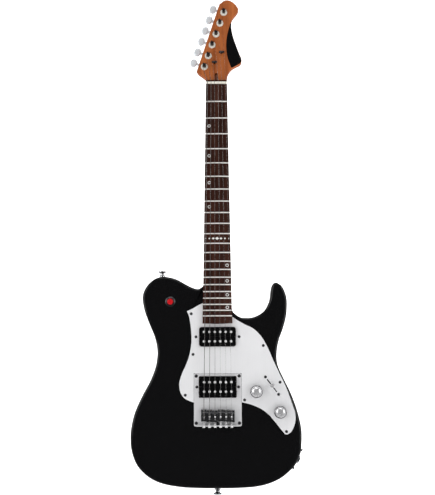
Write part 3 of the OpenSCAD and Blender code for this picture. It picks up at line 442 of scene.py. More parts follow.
def object_from(name, bm):
    mesh = bpy.data.meshes.new(name)
    bm.to_mesh(mesh)
    bm.free()
    return new_object(name, mesh)


def settle(obj):
    """Applies the object's modifiers to its mesh, and returns that mesh."""
    bpy.context.view_layer.update()
    made = obj.evaluated_get(bpy.context.evaluated_depsgraph_get())
    mesh = bpy.data.meshes.new_from_object(made)
    mesh.name = obj.name
    obj.modifiers.clear()
    obj.data = mesh
    return mesh


def combine(target, tool, operation):
    """Joins the tool's solid to the target's, or cuts it away; the tool is removed."""
    mod = target.modifiers.new("combine", "BOOLEAN")
    mod.operation, mod.object, mod.solver = operation, tool, "EXACT"
    settle(target)
    bpy.data.objects.remove(tool)


def bridge(bm, low, high):
    """Faces between two rings of vertices; a ring of one vertex makes a fan."""
    for k in range(max(len(low), len(high))):
        quad = (low[k % len(low)], low[(k + 1) % len(low)],
                high[(k + 1) % len(high)], high[k % len(high)])
        bm.faces.new(list(dict.fromkeys(quad)))


def loft(rings):
    """A closed bmesh through rings of (x, y, z) points in millimetres, all of one count."""
    bm = bmesh.new()
    made = [[bm.verts.new(Vector(p) * MM) for p in ring] for ring in rings]
    for low, high in zip(made, made[1:]):
        bridge(bm, low, high)
    bm.faces.new(made[0])
    bm.faces.new(made[-1])
    bmesh.ops.recalc_face_normals(bm, faces=bm.faces)
    return bm


def finish_piece(name, made, mat, node):
    """Gives a bmesh or a mesh its object and finish, and lets it stand for its CAD piece."""
    obj = object_from(name, made) if isinstance(made, bmesh.types.BMesh) else new_object(name, made)
    # a large flat face stays flat in its shading where it meets a narrow rounded edge
    obj.modifiers.new("level", "WEIGHTED_NORMAL").keep_sharp = True
    settle(obj)
    obj.data.materials.clear()
    obj.data.materials.append(mat)
    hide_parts(node)
    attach(obj, body_of[node])
    return obj


def softened(node, mat, width):
    """A copy of a CAD piece with its sharp edges rounded to width millimetres."""
    bm = merged(node)
    edges = [e for e in bm.edges if e.is_manifold and e.calc_face_angle(0) > SHARP_EDGE]
    if width:
        bmesh.ops.bevel(bm, geom=edges, offset=width * MM, segments=2, profile=0.5,
                        affect="EDGES", clamp_overlap=True)
    bmesh.ops.dissolve_degenerate(bm, edges=bm.edges, dist=SLIVER)
    smooth(bm)
    obj = finish_piece(node + "_look", bm, mat, node)
    print(node, "edges", len(edges), "->", len(obj.data.polygons), "faces")
    return obj


# %% [markdown]
# First the plain fittings, where the softened CAD shape is already right. Each row gives
# the piece, its finish, and the radius of its broken edges in millimetres.

# %% Fittings from the CAD shapes
FITTINGS = [
    ("fingerboard", rosewood, 0.25), ("nut", bone, 0.25), ("inlays", pearl, 0),
    ("truss_rod", walnut, 0.2), ("string_trees", dark_steel, 0.3), ("neck_plate", chrome, 0.5),
    ("strap_buttons", chrome, 0.3), ("pickguard", aluminium, 0.4),
    ("rear_cover", black_plastic, 0.4), ("jack_plate", chrome, 0.3), ("jack_socket", chrome, 0.4),
    ("panel_nuts", chrome, 0.3), ("bridge_plate", satin_plate, 0.35),
    ("intonation_screws", pole_steel, 0.15), ("string_ferrules", chrome, 0.3),
    ("pickup_bases", nickel_strip, 0.15), ("pickup_bobbins", black_plastic, 0.35),
    ("pickup_coils", copper, 0.4), ("pickup_poles", pole_steel, 0.2),
    ("pickup_magnets", cast, 0.2), ("control_pots", zinc, 0.4), ("volume_shaft", steel, 0.3),
    ("tone_shaft", steel, 0.3), ("switch_frame", zinc, 0.2), ("switch_lever", steel, 0.15),
    ("switch_tip", spun_chrome, 0.3), ("kill_switch", dark_steel, 0.3),
    ("kill_button", red_cap, 0.4), ("tuner_housings", chrome, 0.5),
    ("tuner_bushings", bright_nickel, 0.4),
]
# the saddles take the darkened steel, which is partly painted shade
for n in range(1, 7):
    FITTINGS += [(f"tuner_post_{n}", dark_steel, 0.3), (f"saddle_{n}", saddle_steel, 0.25)]
for node, mat, width in FITTINGS:
    softened(node, mat, width)

# %% [markdown]
# The body is one thick slab whose long edges are rounded by a router before the lacquer
# goes on. Only the outer edge is round: the neck pocket and the hidden rooms stay sharp. The
# edge is found by starting at the body's lowest point and walking along it from piece to
# piece, on the front and again on the back.

# %% Body
EDGE_ROUND = 5.0
POCKET_HALF, POCKET_LOW = 0.0292, -0.52
LEVEL = 1e-5
body_low, body_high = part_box("body")


def on_rim(edge, y):
    """True for an edge of the outer outline, on the front or the back face."""
    if not edge.is_manifold or edge.calc_face_angle(0) < SQUARE_EDGE:
        return False
    return all(abs(v.co.y - y) < LEVEL for v in edge.verts)


def outline_edges(bm, y):
    """The outer outline's edges on the face at that depth, walked from the lowest one."""
    rim = [e for e in bm.edges if on_rim(e, y)]
    first = min(rim, key=lambda e: sum(v.co.z for v in e.verts))
    found, todo = {first}, [first]
    while todo:
        for vert in todo.pop().verts:
            for e in vert.link_edges:
                if e in found or not on_rim(e, y):
                    continue
                if all(abs(v.co.x) < POCKET_HALF and v.co.z > POCKET_LOW for v in e.verts):
                    continue
                found.add(e)
                todo.append(e)
    return [e for e in bm.edges if e in found]


bm = merged("body")
edges = outline_edges(bm, body_low.y) + outline_edges(bm, body_high.y)
bmesh.ops.bevel(bm, geom=edges, offset=EDGE_ROUND * MM, segments=6, profile=0.5,
                affect="EDGES", clamp_overlap=False)
smooth(bm, 30)
body_look = finish_piece("body_look", bm, lacquer, "body")
print("body: rounded", len(edges), "edges,", len(body_look.data.polygons), "faces")

# %% [markdown]
# The head's treble side carries a black panel, a thin plain veneer with a long curved inner
# side. It is a flat outline with a little thickness, standing proud of the wood by a hair so
# that the two never flicker. Both sides are given as (across, up) in millimetres.

# %% Head panel
PANEL_INNER = [(29.5, 37.6), (26.4, 46.3), (22.8, 57.7), (20.6, 73), (20.2, 88.2), (21.8, 103.5),
               (25.4, 118.8), (28.6, 129), (30.2, 133)]
PANEL_OUTER = [(30.8, 127), (30.7, 119.5), (33.7, 102.5), (39.2, 85.5), (45.2, 68.5), (50.2, 55.5),
               (50.2, 49.2), (47.2, 44.9), (39.8, 40.9), (31.6, 36.2)]


def rounded_path(points, steps=6):
    """A smooth open curve through the points."""
    curve = []
    last = len(points) - 1
    for i in range(last):
        a, b, c, d = (np.array(points[min(max(i + k, 0), last)], float) for k in (-1, 0, 1, 2))
        for t in np.arange(steps) / steps:
            curve.append(0.5 * (2 * b + (c - a) * t + (2 * a - 5 * b + 4 * c - d) * t * t
                                + (3 * b - a - 3 * c + d) * t ** 3))
    return curve + [np.array(points[-1], float)]


PANEL_PROUD, PANEL_SUNK = 0.12, 0.3
head_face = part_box("string_trees")[1].y / MM
panel_outline = rounded_path(PANEL_INNER) + rounded_path(PANEL_OUTER)
bm = loft([[(x, y, z) for x, z in panel_outline]
           for y in (head_face - PANEL_PROUD, head_face + PANEL_SUNK)])
smooth(bm)
finish_piece("head_panel", bm, black_panel, "neck")
print("head panel at depth", round(head_face, 2))

# %% [markdown]
# The neck and the head are carved from one plank. The head's outline has a soft edge all
# round, front and back, which the tuner holes and the slot for the truss rod don't have, so
# the edges are picked by where they lie. The shaft's round back grows square shoulders where
# it meets the head: a loft of rings, from the shaft's curve to nearly square, is joined to
# the drawing's solid.

# %% Neck
HEAD_ROUND, HEAD_BACK = 1.0, 12.5
HEAD_FOOT = 0.0135
ROD_SLOT_HALF, ROD_SLOT_TOP = 0.0035, 0.03
POST_CLEAR, TREE_CLEAR, SHORTEST = 0.0056, 0.0035, 0.0003
TREE_SCREWS = ((0.0107, 0.0675), (-0.0038, 0.0465))
SHAFT_BACK, SHAFT_GROWTH = 11.4, 2.4 / 405
SIDE_TOP, SHAFT_POWER, SQUARE_POWER = -2.4, 2.3, 9
JOIN_LOW, JOIN_HIGH = -40.0, 3.4
NUT_HALF = 21.15
CORE_TOP, CORE_INSET, CORE_DEEP = -1.0, 6, 6.0
SKIN, HEAD_SKIN = 0.05, 0.1
neck_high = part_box("neck")[1]
fret_low, fret_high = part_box("frets")
posts = [Vector(joints[f"post_turn_{n}"]["pos_m"]) for n in range(1, 7)]


def on_head_outline(edge):
    """True for an edge of the head's outline, on its front or its back."""
    for vert in edge.verts:
        x, y, z = vert.co
        if all(abs(y - at) > LEVEL for at in (head_face * MM, neck_high.y, HEAD_BACK * MM)):
            return False
        if z < HEAD_FOOT or (abs(x) < ROD_SLOT_HALF and z < ROD_SLOT_TOP):
            return False
        if any(math.hypot(x - p.x, z - p.z) < POST_CLEAR for p in posts):
            return False
    x, _, z = edge.verts[0].co
    if any(math.hypot(x - tx, z - tz) < TREE_CLEAR for tx, tz in TREE_SCREWS):
        return False
    return (edge.is_manifold and edge.calc_face_angle(0) > SQUARE_EDGE
            and edge.calc_length() > SHORTEST)


def half_width(z):
    """Half the neck's width at a place along it, in millimetres."""
    return NUT_HALF + (fret_high.x / MM - NUT_HALF) * max(-z, 0) / (-fret_low.z / MM)


def eased(z, low, high):
    t = min(max((z - low) / (high - low), 0), 1)
    return t * t * (3 - 2 * t)


def back_curve(w, back, power, top, count=31):
    """Points of the neck's rounded back from one side to the other, below the depth top."""
    first = math.asin(min(max((top - SIDE_TOP) / (back - SIDE_TOP), 0), 1) ** (power / 2))
    return [(w * math.copysign(abs(math.cos(a)) ** (2 / power), math.cos(a)),
             SIDE_TOP + (back - SIDE_TOP) * math.sin(a) ** (2 / power))
            for a in np.linspace(math.pi - first, first, count)]


bm = merged("neck")
edges = [e for e in bm.edges if on_head_outline(e)]
bmesh.ops.bevel(bm, geom=edges, offset=HEAD_ROUND * MM, segments=4, profile=0.5,
                affect="EDGES", clamp_overlap=True)
# each ring of the shoulders leaves an open channel for the fingerboard and the truss rod
shoulders = []
for z in np.linspace(JOIN_LOW, JOIN_HIGH, 24):
    k = eased(z, JOIN_LOW, JOIN_HIGH)
    shaft = SHAFT_BACK - SHAFT_GROWTH * min(z, 0)
    w, back = half_width(z) - SKIN * (1 - k), shaft + (HEAD_BACK - HEAD_SKIN - shaft) * k
    curve = back_curve(w, back - SKIN * (1 - k), SHAFT_POWER + SQUARE_POWER * k * k, CORE_TOP)
    inner = w - CORE_INSET
    ring = curve + [(inner, CORE_TOP), (inner, CORE_DEEP), (-inner, CORE_DEEP), (-inner, CORE_TOP)]
    shoulders.append([(x, y, z) for x, y in ring])
whole = object_from("neck_wood", bm)
combine(whole, object_from("shoulders", loft(shoulders)), "UNION")
bm = bmesh.new()
bm.from_mesh(whole.data)
bpy.data.objects.remove(whole)
bmesh.ops.dissolve_degenerate(bm, edges=bm.edges, dist=WELD)
smooth(bm, 34)
neck_look = finish_piece("neck_look", bm, maple, "neck")
print("neck: rounded", len(edges), "edges,", len(neck_look.data.polygons), "faces")

# %% [markdown]
# Frets follow a rule: each one divides the rest of the string by the twelfth root of two, and
# each is as wide as the neck at its place. Geometry Nodes does both. A line of points gets
# its places from the rule, a bar with rounded ends is put on each point and stretched to
# the neck's width, and the whole set is then bent over the crown of the fingerboard.

# %% Geometry Nodes helpers
def new_tree(name, inputs):
    """An empty node group with named inputs; returns it and its inputs' sockets by name."""
    tree = bpy.data.node_groups.new(name, "GeometryNodeTree")
    for way in ("INPUT", "OUTPUT"):
        tree.interface.new_socket("Geometry", in_out=way, socket_type="NodeSocketGeometry")
    for label, kind in inputs:
        tree.interface.new_socket(label, in_out="INPUT", socket_type="NodeSocket" + kind)
    return tree, {s.name: s for s in tree.nodes.new("NodeGroupInput").outputs}


def calc(tree, operation, a, b=0.0):
    return put(tree, "ShaderNodeMath", {"operation": operation}, _0=a, _1=b)


def tube(tree, curve, sides, radius, scale=1.0):
    """Sweeps a circle along a curve, with closed ends and smooth shading."""
    ring = put(tree, "GeometryNodeCurvePrimitiveCircle", Resolution=sides, Radius=radius)
    made = put(tree, "GeometryNodeCurveToMesh", Curve=curve, Profile_Curve=ring, Scale=scale,
               Fill_Caps=True)
    return put(tree, "GeometryNodeSetShadeSmooth", Geometry=made)


def close_tree(tree, geometry, mat):
    """Realizes the instances, sets the material and ends the tree."""
    real = put(tree, "GeometryNodeRealizeInstances", Geometry=geometry)
    painted = put(tree, "GeometryNodeSetMaterial", Geometry=real, Material=mat)
    tree.links.new(painted, tree.nodes.new("NodeGroupOutput").inputs[0])


def run_tree(name, tree, values, base=None):
    """Runs a tree on a mesh with the given inputs and returns the result as a plain mesh."""
    host = new_object(name + "_host", base or bpy.data.meshes.new(name + "_host"))
    mod = host.modifiers.new("build", "NODES")
    mod.node_group = tree
    ids = {item.name: item.identifier for item in tree.interface.items_tree
           if item.item_type == "SOCKET" and item.in_out == "INPUT"}
    for label, value in values.items():
        mod[ids[label]] = value
    mesh = settle(host)
    bpy.data.objects.remove(host)
    mesh.name = name
    return mesh


print("node tree helpers ready")

# %% Frets
SCALE_LENGTH, NUT_WIDTH = 0.648, 0.0423
BOARD_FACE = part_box("fingerboard")[0].y
CROWN_RADIUS, FRET_WIDTH = 0.305, 2.3 * MM
FRETS = 22
END_SHARE, END_SIZE = 0.012, 0.6

tree, take = new_tree("frets", [
    ("Scale Length", "Float"), ("Count", "Int"), ("Nut Width", "Float"), ("Widening", "Float"),
    ("Fret Width", "Float"), ("Fret Height", "Float"), ("Crown Radius", "Float"),
    ("Face", "Float")])
# the points, by the twelfth-root rule
rows = put(tree, "GeometryNodeMeshLine", Count=take["Count"])
number = calc(tree, "ADD", put(tree, "GeometryNodeInputIndex"), 1.0)
power = calc(tree, "POWER", 2.0, calc(tree, "DIVIDE", number, -12.0))
depth = calc(tree, "MULTIPLY", calc(tree, "SUBTRACT", power, 1.0), take["Scale Length"])
spot = put(tree, "ShaderNodeCombineXYZ", Y=take["Face"], Z=depth)
places = put(tree, "GeometryNodeSetPosition", Geometry=rows, Position=spot)
width = calc(tree, "SUBTRACT", take["Nut Width"],
             calc(tree, "MULTIPLY", depth, take["Widening"]))
# one bar a metre long, an oval whose size eases down to the two ends
bar = put(tree, "GeometryNodeCurvePrimitiveLine", Start=(-0.5, 0, 0), End=(0.5, 0, 0))
bar = put(tree, "GeometryNodeResampleCurve", Curve=bar, Count=121)
along = put(tree, "GeometryNodeSplineParameter")
from_end = calc(tree, "SUBTRACT", 0.5,
                calc(tree, "ABSOLUTE", calc(tree, "SUBTRACT", along, 0.5)))
near = put(tree, "ShaderNodeMapRange", {"interpolation_type": "SMOOTHSTEP"}, Value=from_end,
           From_Max=END_SHARE, To_Min=END_SIZE)
half = calc(tree, "MULTIPLY", take["Fret Width"], 0.5)
oval = put(tree, "GeometryNodeCurvePrimitiveCircle", Resolution=14, Radius=1.0)
size = put(tree, "ShaderNodeCombineXYZ", X=half, Y=take["Fret Height"], Z=1.0)
oval = put(tree, "GeometryNodeTransform", Geometry=oval, Scale=size,
           Rotation=(0.0, 0.0, math.pi / 2))
swept = put(tree, "GeometryNodeCurveToMesh", Curve=bar, Profile_Curve=oval, Scale=near,
            Fill_Caps=True)
# a bar on each point, as wide as the neck there, and all of them bent over the crown
stretch = put(tree, "ShaderNodeCombineXYZ", X=width, Y=1.0, Z=1.0)
bars = put(tree, "GeometryNodeInstanceOnPoints", Points=places, Instance=swept, Scale=stretch)
real = put(tree, "GeometryNodeRealizeInstances", Geometry=bars)
here_x = put(tree, "ShaderNodeSeparateXYZ", Vector=put(tree, "GeometryNodeInputPosition"))
across = calc(tree, "POWER", calc(tree, "ABSOLUTE", here_x), 2.0)
around = calc(tree, "POWER", take["Crown Radius"], 2.0)
level = calc(tree, "SQRT", calc(tree, "SUBTRACT", around, across))
drop = put(tree, "ShaderNodeCombineXYZ", Y=calc(tree, "SUBTRACT", take["Crown Radius"], level))
bent = put(tree, "GeometryNodeSetPosition", Geometry=real, Offset=drop)
close_tree(tree, put(tree, "GeometryNodeSetShadeSmooth", Geometry=bent), fret_metal)

widening = (fret_high.x - fret_low.x - NUT_WIDTH) / (SCALE_LENGTH * (1 - 2 ** (-FRETS / 12)))
fret_mesh = run_tree("frets_look", tree, {
    "Scale Length": SCALE_LENGTH, "Count": FRETS, "Nut Width": NUT_WIDTH, "Widening": widening,
    "Fret Width": FRET_WIDTH, "Fret Height": BOARD_FACE - fret_low.y,
    "Crown Radius": CROWN_RADIUS, "Face": BOARD_FACE})
finish_piece("frets_look", fret_mesh, fret_metal, "frets")
print("frets:", len(fret_mesh.polygons), "faces")

# %% [markdown]
# Every screw on the guitar is the same kind, an oval head with a cross recess, in seven
# sizes. The CAD already says where each one sits and which way it points, so those are
# measured from its solids: the longest direction is the axis, and the wide end is the head.
# One screw per size is turned on a lathe, as a profile spun round its axis, and the cross is
# cut with a tapered driver. A node tree then puts a copy on each point, and turns each by
# a random angle, because no two screws stop with their crosses in line.

# %% Screw places
def islands(node):
    """The vertices of each separate solid of a CAD piece, as arrays."""
    bm = bmesh.new()
    bm.from_mesh(nodes[node].data)
    bmesh.ops.remove_doubles(bm, verts=bm.verts, dist=WELD)
    left, groups = set(bm.verts), []
    for first in bm.verts:
        if first not in left:
            continue
        left.remove(first)
        todo, group = [first], []
        while todo:
            vert = todo.pop()
            group.append(vert.co[:])
            for edge in vert.link_edges:
                other = edge.other_vert(vert)
                if other in left:
                    left.remove(other)
                    todo.append(other)
        groups.append(np.array(group))
    bm.free()
    return groups


def screw_frame(points):
    """The top of a screw's head, the way it points, its head and shank radii and its length."""
    spread_out = points - points.mean(0)
    axis = np.linalg.svd(spread_out, full_matrices=False)[2][0]
    along = spread_out @ axis
    around = np.linalg.norm(spread_out - np.outer(along, axis), axis=1)
    widest = along[np.argmax(around)]
    if abs(widest - along.max()) > abs(widest - along.min()):
        axis, along = -axis, -along
    # the rim of the head gives the axis' true place
    to_rim = points[around > around.max() * RIM_SHARE].mean(0) - points.mean(0)
    centre = points.mean(0) + to_rim - axis * (to_rim @ axis)
    off = points - centre
    along = off @ axis
    around = np.linalg.norm(off - np.outer(along, axis), axis=1)
    length = np.ptp(along)
    shank = around[along < along.min() + SHANK_SHARE * length].max()
    return centre + axis * along.max(), axis, around.max(), shank, length


RIM_SHARE, SHANK_SHARE = 0.97, 0.6
SCREWS = [("headstock_screws", dark_steel), ("neck_screws", chrome),
          ("strap_button_screws", steel), ("cover_screws", dark_steel),
          ("bridge_screws", dark_steel), ("machine_screws", dark_steel)]
frames = {node: [screw_frame(p) for p in islands(node)] for node, mat in SCREWS}
for node, found in frames.items():
    print(node, len(found), "head", round(found[0][2] / MM, 2), "shank", round(found[0][3] / MM, 2))


# %% Screw template and its node tree
def lathe(profile, segments=24):
    """A bmesh turned round Z from (radius, height) points that start and end on the axis."""
    bm = bmesh.new()
    rings = []
    for radius, height in profile:
        if radius == 0:
            rings.append([bm.verts.new((0, 0, height))])
        else:
            rings.append([bm.verts.new((radius * math.cos(a), radius * math.sin(a), height))
                          for a in np.linspace(0, math.tau, segments, endpoint=False)])
    for low, high in zip(rings, rings[1:]):
        bridge(bm, low, high)
    bmesh.ops.recalc_face_normals(bm, faces=bm.faces)
    return bm


SEATED, PITCH = 0.08 * MM, 1.1 * MM


def screw_template(name, head, shank, length):
    """One screw with its head's top at the origin, pointing up Z."""
    dome, lip, neck = head * 0.42, head * 0.035, shank * 0.8
    # the point and the thread, then the plain neck, the cone under the head and its dome
    profile = [(0, -length), (shank * 0.35, -length + shank * 0.6)]
    for k in range(max(2, int((length * 0.72) / PITCH))):
        z = -length + shank * 0.9 + k * PITCH
        profile += [(shank * 0.78, z), (shank, z + PITCH * 0.5)]
    profile += [(neck, -length * 0.22), (neck, -dome - (head - neck)),
                (head, -dome), (head * 0.985, -dome + lip)]
    profile += [(head * math.sin(a), -dome + lip + (dome - lip) * math.cos(a))
                for a in np.linspace(math.radians(75), math.radians(15), 5)]
    screw = object_from(name, lathe([(r, z - SEATED) for r, z in profile + [(0, 0)]]))
    # the recess is cut by two crossed blades that narrow as they go down
    for turn in (0, math.pi / 2):
        bm = bmesh.new()
        blade = bmesh.ops.create_cube(bm, size=1)["verts"]
        for v in blade:
            narrow = 0.45 if v.co.z < 0 else 1.0
            v.co = (v.co.x * head * 1.15 * narrow, v.co.y * head * 0.24 * narrow,
                    v.co.z * head * 1.1 - head * 0.1)
        bmesh.ops.rotate(bm, verts=blade, cent=(0, 0, 0), matrix=Matrix.Rotation(turn, 3, "Z"))
        combine(screw, object_from("driver", bm), "DIFFERENCE")
    return screw


tree, take = new_tree("screws", [("Screw", "Object"), ("Seed", "Int"), ("Material", "Material")])
shape = put(tree, "GeometryNodeObjectInfo", Object=take["Screw"]).node.outputs["Geometry"]
facing = put(tree, "GeometryNodeInputNamedAttribute", {"data_type": "FLOAT_VECTOR"}, Name="facing")
aimed = put(tree, "FunctionNodeAlignRotationToVector", {"axis": "Z"}, Vector=facing)
chance = put(tree, "FunctionNodeRandomValue", {"data_type": "FLOAT"}, Max=math.pi,
             Seed=take["Seed"])
roll = put(tree, "FunctionNodeAxisAngleToRotation", Axis=(0, 0, 1), Angle=chance)
turned = put(tree, "FunctionNodeRotateRotation", {"rotation_space": "LOCAL"}, Rotation=aimed,
             Rotate_By=roll)
copies = put(tree, "GeometryNodeInstanceOnPoints", Points=take["Geometry"], Instance=shape,
             Rotation=turned)
close_tree(tree, copies, take["Material"])


def points_with_facing(name, spots, ways):
    """A mesh of loose points that know which way they face."""
    mesh = mesh_from(name, spots)
    attribute = mesh.attributes.new("facing", "FLOAT_VECTOR", "POINT")
    attribute.data.foreach_set("vector", np.array(ways, np.float32).ravel())
    return mesh


for seed, (node, mat) in enumerate(SCREWS):
    sizes = {}
    for found in frames[node]:
        key = (round(found[2] / MM, 1), round(found[3] / MM, 1), round(found[4] / MM))
        sizes.setdefault(key, []).append(found)
    bm = bmesh.new()
    for same in sizes.values():
        template = screw_template("screw_template", *same[0][2:])
        base = points_with_facing("screw_points", [f[0] for f in same], [f[1] for f in same])
        bm.from_mesh(run_tree(node, tree, {"Screw": template, "Seed": seed, "Material": mat}, base))
        bpy.data.objects.remove(template)
    smooth(bm, 35)
    obj = finish_piece(node + "_look", bm, mat, node)
    print(node, len(frames[node]), "screws,", len(sizes), "sizes,", len(obj.data.polygons), "faces")

# %% [markdown]
# The strings run from the back of the body, over the saddles and the nut, and end in three
# turns round each tuner post. The three thick ones are wound with ribbed wire and the three
# thin ones are plain steel. Each string is a path of points that a node tree sweeps with a
# circle; the path repeats the route of the drawing.

# %% Strings
STRING_RADII = [0.58, 0.46, 0.33, 0.24, 0.18, 0.14]
BRIDGE_PITCH, NUT_SPREAD = 10.7, 36.0
NUT_THICK, POST_RADIUS = 4.0, 3.0
NUT_RISE, SADDLE_RISE, WRAP_RISE = 2.0, 4.4, 9
HOLE_OFFSET, HOLE_DROP, BEND_RADIUS = 12, 4, 3
WRAP_TURNS, WRAP_STEPS, GAP = 3, 24, 0.1
strings_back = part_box("strings")[1].y / MM
nut_y, saddle_y = BOARD_FACE / MM - NUT_RISE, BOARD_FACE / MM - SADDLE_RISE
hole_z = -SCALE_LENGTH / MM - HOLE_OFFSET
wrap_y = head_face - WRAP_RISE


def string_path(i):
    """One string's route in millimetres, from its hole in the body to its post."""
    r, x = STRING_RADII[i], (i - 2.5) * BRIDGE_PITCH
    post = np.array([posts[i].x, posts[i].z]) / MM
    start = np.array([(i - 2.5) * NUT_SPREAD / 5, NUT_THICK])
    reach = POST_RADIUS + r + GAP
    gap = post - start
    leave = math.atan2(gap[1], gap[0]) - math.acos(reach / np.linalg.norm(gap)) + math.pi
    route = [(x, strings_back, hole_z), (x, saddle_y + HOLE_DROP, hole_z)]
    route += [(x, saddle_y + BEND_RADIUS * (1 - math.sin(a)),
               hole_z + BEND_RADIUS * (1 - math.cos(a)))
              for a in np.linspace(0, math.pi / 2, 9)[1:]]
    route += [(start[0], nut_y, 0), (start[0], nut_y, NUT_THICK)]
    for k in range(WRAP_TURNS * WRAP_STEPS + 1):
        turned = leave + math.tau * k / WRAP_STEPS
        route.append((post[0] + reach * math.cos(turned),
                      wrap_y + (2 * r + GAP) * k / WRAP_STEPS,
                      post[1] + reach * math.sin(turned)))
    return np.array(route) * MM


tree, take = new_tree("strings", [("Sides", "Int"), ("Material", "Material")])
line = put(tree, "GeometryNodeMeshToCurve", Mesh=take["Geometry"])
thick = put(tree, "GeometryNodeInputNamedAttribute", {"data_type": "FLOAT"}, Name="thick")
close_tree(tree, tube(tree, line, take["Sides"], 1.0, thick), take["Material"])

for name, mat, numbers in (("strings_wound", wound, (0, 1, 2)),
                           ("strings_plain", plain_string, (3, 4, 5))):
    spots, links, radii = [], [], []
    for i in numbers:
        route = string_path(i)
        links += [(len(spots) + k, len(spots) + k + 1) for k in range(len(route) - 1)]
        spots += list(route)
        radii += [STRING_RADII[i] * MM] * len(route)
    base = mesh_from(name, spots, edges=links)
    base.attributes.new("thick", "FLOAT", "POINT").data.foreach_set("value", radii)
    mesh = run_tree(name, tree, {"Sides": 12, "Material": mat}, base)
    finish_piece(name, mesh, mat, "strings")
    print(name, len(mesh.polygons), "faces")

# %% [markdown]
# Behind every saddle a small spring pushes against the plate's lip, on the screw that sets
# the string's length. When a saddle slides, its spring has to grow or shrink; here each spring
# is drawn once, as long as the gap from the lip to its saddle.

# %% Saddle springs
SPRING_TURNS, SPRING_RADIUS, SPRING_WIRE = 5.0, 1.85 * MM, 0.3 * MM
LIP, PLAY = 1.8 * MM, 0.05 * MM
SPRING_Y = -6.4 * MM
tree, take = new_tree("spring", [("Turns", "Float"), ("Radius", "Float"), ("Length", "Float"),
                                 ("Wire", "Float"), ("Material", "Material")])
coil = put(tree, "GeometryNodeCurveSpiral", Resolution=18, Rotations=take["Turns"],
           Height=take["Length"], Start_Radius=take["Radius"], End_Radius=take["Radius"])
close_tree(tree, tube(tree, coil, 8, take["Wire"]), take["Material"])

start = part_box("bridge_plate")[0].z + LIP + PLAY
for n in range(1, 7):
    low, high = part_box(f"saddle_{n}")
    x = (low.x + high.x) / 2
    length = low.z - start - 2 * SPRING_WIRE
    mesh = run_tree(f"spring_{n}", tree, {
        "Turns": SPRING_TURNS, "Radius": SPRING_RADIUS, "Length": length,
        "Wire": SPRING_WIRE, "Material": steel})
    mesh.transform(Matrix.Translation((x, SPRING_Y, start + SPRING_WIRE)))
    spring = new_object(f"spring_{n}", mesh)
    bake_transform(spring)
print("springs, each", round(length / MM, 2), "mm long")

# %% [markdown]
# The two knobs are turned brass, chromed. A fine straight knurl grips the fingers, and the
# top is a polished dome inside a narrow groove. The knurl is real geometry: between two
# smooth collars the radius goes in and out around the side. The side, the groove and the
# dome's outer rim get a darker copy of the chrome, which is painted shade.

# %% Knobs
KNURLS, KNURL_DEPTH = 60, 0.35 * MM
SHAFT_RADIUS, SHAFT_DEPTH = 3.02 * MM, 12 * MM
PAINTED_SHADE_FROM = 0.885


def knob_mesh(radius, height):
    """A bmesh knob with its foot at z = 0 and a blind hole for its shaft."""
    bm = bmesh.new()
    side, dome = height * 0.56, height * 0.60
    # each level: its height, its radius, and whether it is knurled
    levels = [(0.0, SHAFT_RADIUS, 0), (0.0, radius * 0.96, 0), (0.25 * MM, radius * 0.985, 0),
              (0.9 * MM, radius * 0.985, 0), (1.2 * MM, radius, 1), (side - 0.3 * MM, radius, 1),
              (side, radius * 0.975, 0), (side + 0.15 * MM, radius * 0.95, 0),
              (side - 1.2 * MM, radius * 0.94, 0), (side - 1.2 * MM, radius * 0.90, 0),
              (dome - 0.3 * MM, radius * 0.895, 0)]
    for a in np.linspace(0, math.pi / 2, 15)[:-1]:
        levels.append((dome + (height - dome) * math.sin(a), radius * 0.89 * math.cos(a) ** 0.9, 0))
    count = KNURLS * 4
    rings = []
    for z, r, knurled in levels:
        ring = []
        for k in range(count):
            a = math.tau * k / count
            dip = knurled * KNURL_DEPTH * (0.5 - 0.5 * math.cos(a * KNURLS))
            ring.append(bm.verts.new(((r - dip) * math.cos(a), (r - dip) * math.sin(a), z)))
        rings.append(ring)
    for low, high in zip(rings, rings[1:]):
        bridge(bm, low, high)
    bm.faces.new(rings[-1])
    # the shaft's hole, closed at its far end
    top = [bm.verts.new((v.co.x, v.co.y, SHAFT_DEPTH)) for v in rings[0]]
    bridge(bm, top, rings[0])
    bm.faces.new(list(reversed(top)))
    bmesh.ops.recalc_face_normals(bm, faces=bm.faces)
    return bm


TO_FRONT = Matrix.Rotation(math.pi / 2, 4, "X")
for name in ("volume", "tone"):
    low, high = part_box(name + "_knob")
    centre = (low + high) / 2
    radius = (high.x - low.x) / 2
    bm = knob_mesh(radius, high.y - low.y)
    bm.transform(Matrix.Translation((centre.x, high.y, centre.z)) @ TO_FRONT)
    smooth(bm, 40)
    knob = finish_piece(name + "_knob_look", bm, spun_chrome, name + "_knob")
    # faces beyond that share of the radius (the side, the groove and the dome's rim) take the
    # darker chrome as painted shade
    knob.data.materials.append(knurl_chrome)
    for face in knob.data.polygons:
        away = math.hypot(face.center.x - centre.x, face.center.z - centre.z)
        face.material_index = int(away > radius * PAINTED_SHADE_FROM)
    print(name, "knob", len(knob.data.polygons), "faces")

# %% [markdown]
# A tuner key is an oval that fingers pinch: thick at its stem, thin at its outer edge, and
# a little hollow on both faces. Its shell is made from rings that shrink from the outline
# to the middle while the height follows a rounded curve. The stem and the worm behind it
# are the CAD's own, cut where the new oval begins.

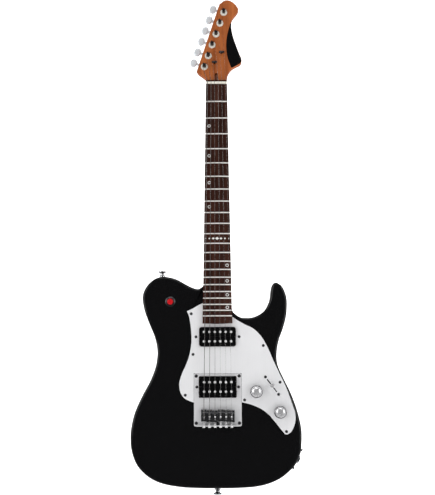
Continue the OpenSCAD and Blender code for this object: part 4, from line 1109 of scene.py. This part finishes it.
# %% Tuner keys
KEY_REACH, KEY_HALF_TALL = 25.7 * MM, 9 * MM
KEY_INNER, KEY_OUTER = 6.8 * MM, 7.0 * MM
KEY_THICK, KEY_THIN = 3.7 * MM, 2.3 * MM
KEY_SIDES, KEY_RINGS = 48, 9
KEY_FLATNESS, KEY_HOLLOW, KEY_OVERLAP = 0.92, 0.14, 0.6 * MM
DEPTH = Vector((0, 1, 0))


def key_point(angle, share, side, out, row):
    """A place on the button: share goes from its middle to its outline, side is -1 or 1."""
    x, z = (math.copysign(abs(v) ** KEY_FLATNESS, v) for v in (math.cos(angle), math.sin(angle)))
    x *= (KEY_OUTER if x > 0 else KEY_INNER) * share
    z *= KEY_HALF_TALL * share
    thick = KEY_THICK + (KEY_THIN - KEY_THICK) * (x + KEY_INNER) / (KEY_OUTER + KEY_INNER)
    y = thick * (1 - share ** 4.5) ** (1 / 2.6) * (1 - KEY_HOLLOW * (1 - share * share))
    return out * x + row * z + DEPTH * y * side


def key_button(bm, centre, out, row):
    """Adds one oval button to a bmesh: out points away from the head, row runs up the row."""
    def ring(share, side, count=KEY_SIDES):
        return [bm.verts.new(centre + key_point(math.tau * k / KEY_SIDES, share, side, out, row))
                for k in range(count)]

    rim = ring(1.0, 0)
    for side in (-1, 1):
        last = rim
        for k in range(1, KEY_RINGS):
            low, last = last, ring(math.sin(math.pi / 2 * (1 - k / KEY_RINGS)), side)
            bridge(bm, low, last)
        bridge(bm, last, ring(0, side, 1))
    bmesh.ops.recalc_face_normals(bm, faces=bm.faces)


for n in range(1, 7):
    joint = joints[f"key_turn_{n}"]
    out = Vector(joint["axis"]).normalized()
    row = Vector((out.z, 0, -out.x))
    worm = Vector(joint["pos_m"])
    bm = merged(f"tuner_key_{n}")
    knife = worm + out * (KEY_REACH - KEY_INNER + KEY_OVERLAP)
    whole = bm.verts[:] + bm.edges[:] + bm.faces[:]
    bmesh.ops.bisect_plane(bm, geom=whole, plane_co=knife, plane_no=out, clear_outer=True)
    bmesh.ops.holes_fill(bm, edges=[e for e in bm.edges if e.is_boundary])
    button = bmesh.new()
    key_button(button, worm + out * KEY_REACH, out, row)
    button = object_from("button", button)
    bm.from_mesh(button.data)
    bpy.data.objects.remove(button)
    smooth(bm, 40)
    key = finish_piece(f"tuner_key_{n}_look", bm, pale_chrome, f"tuner_key_{n}")
print("keys, each", len(key.data.polygons), "faces")
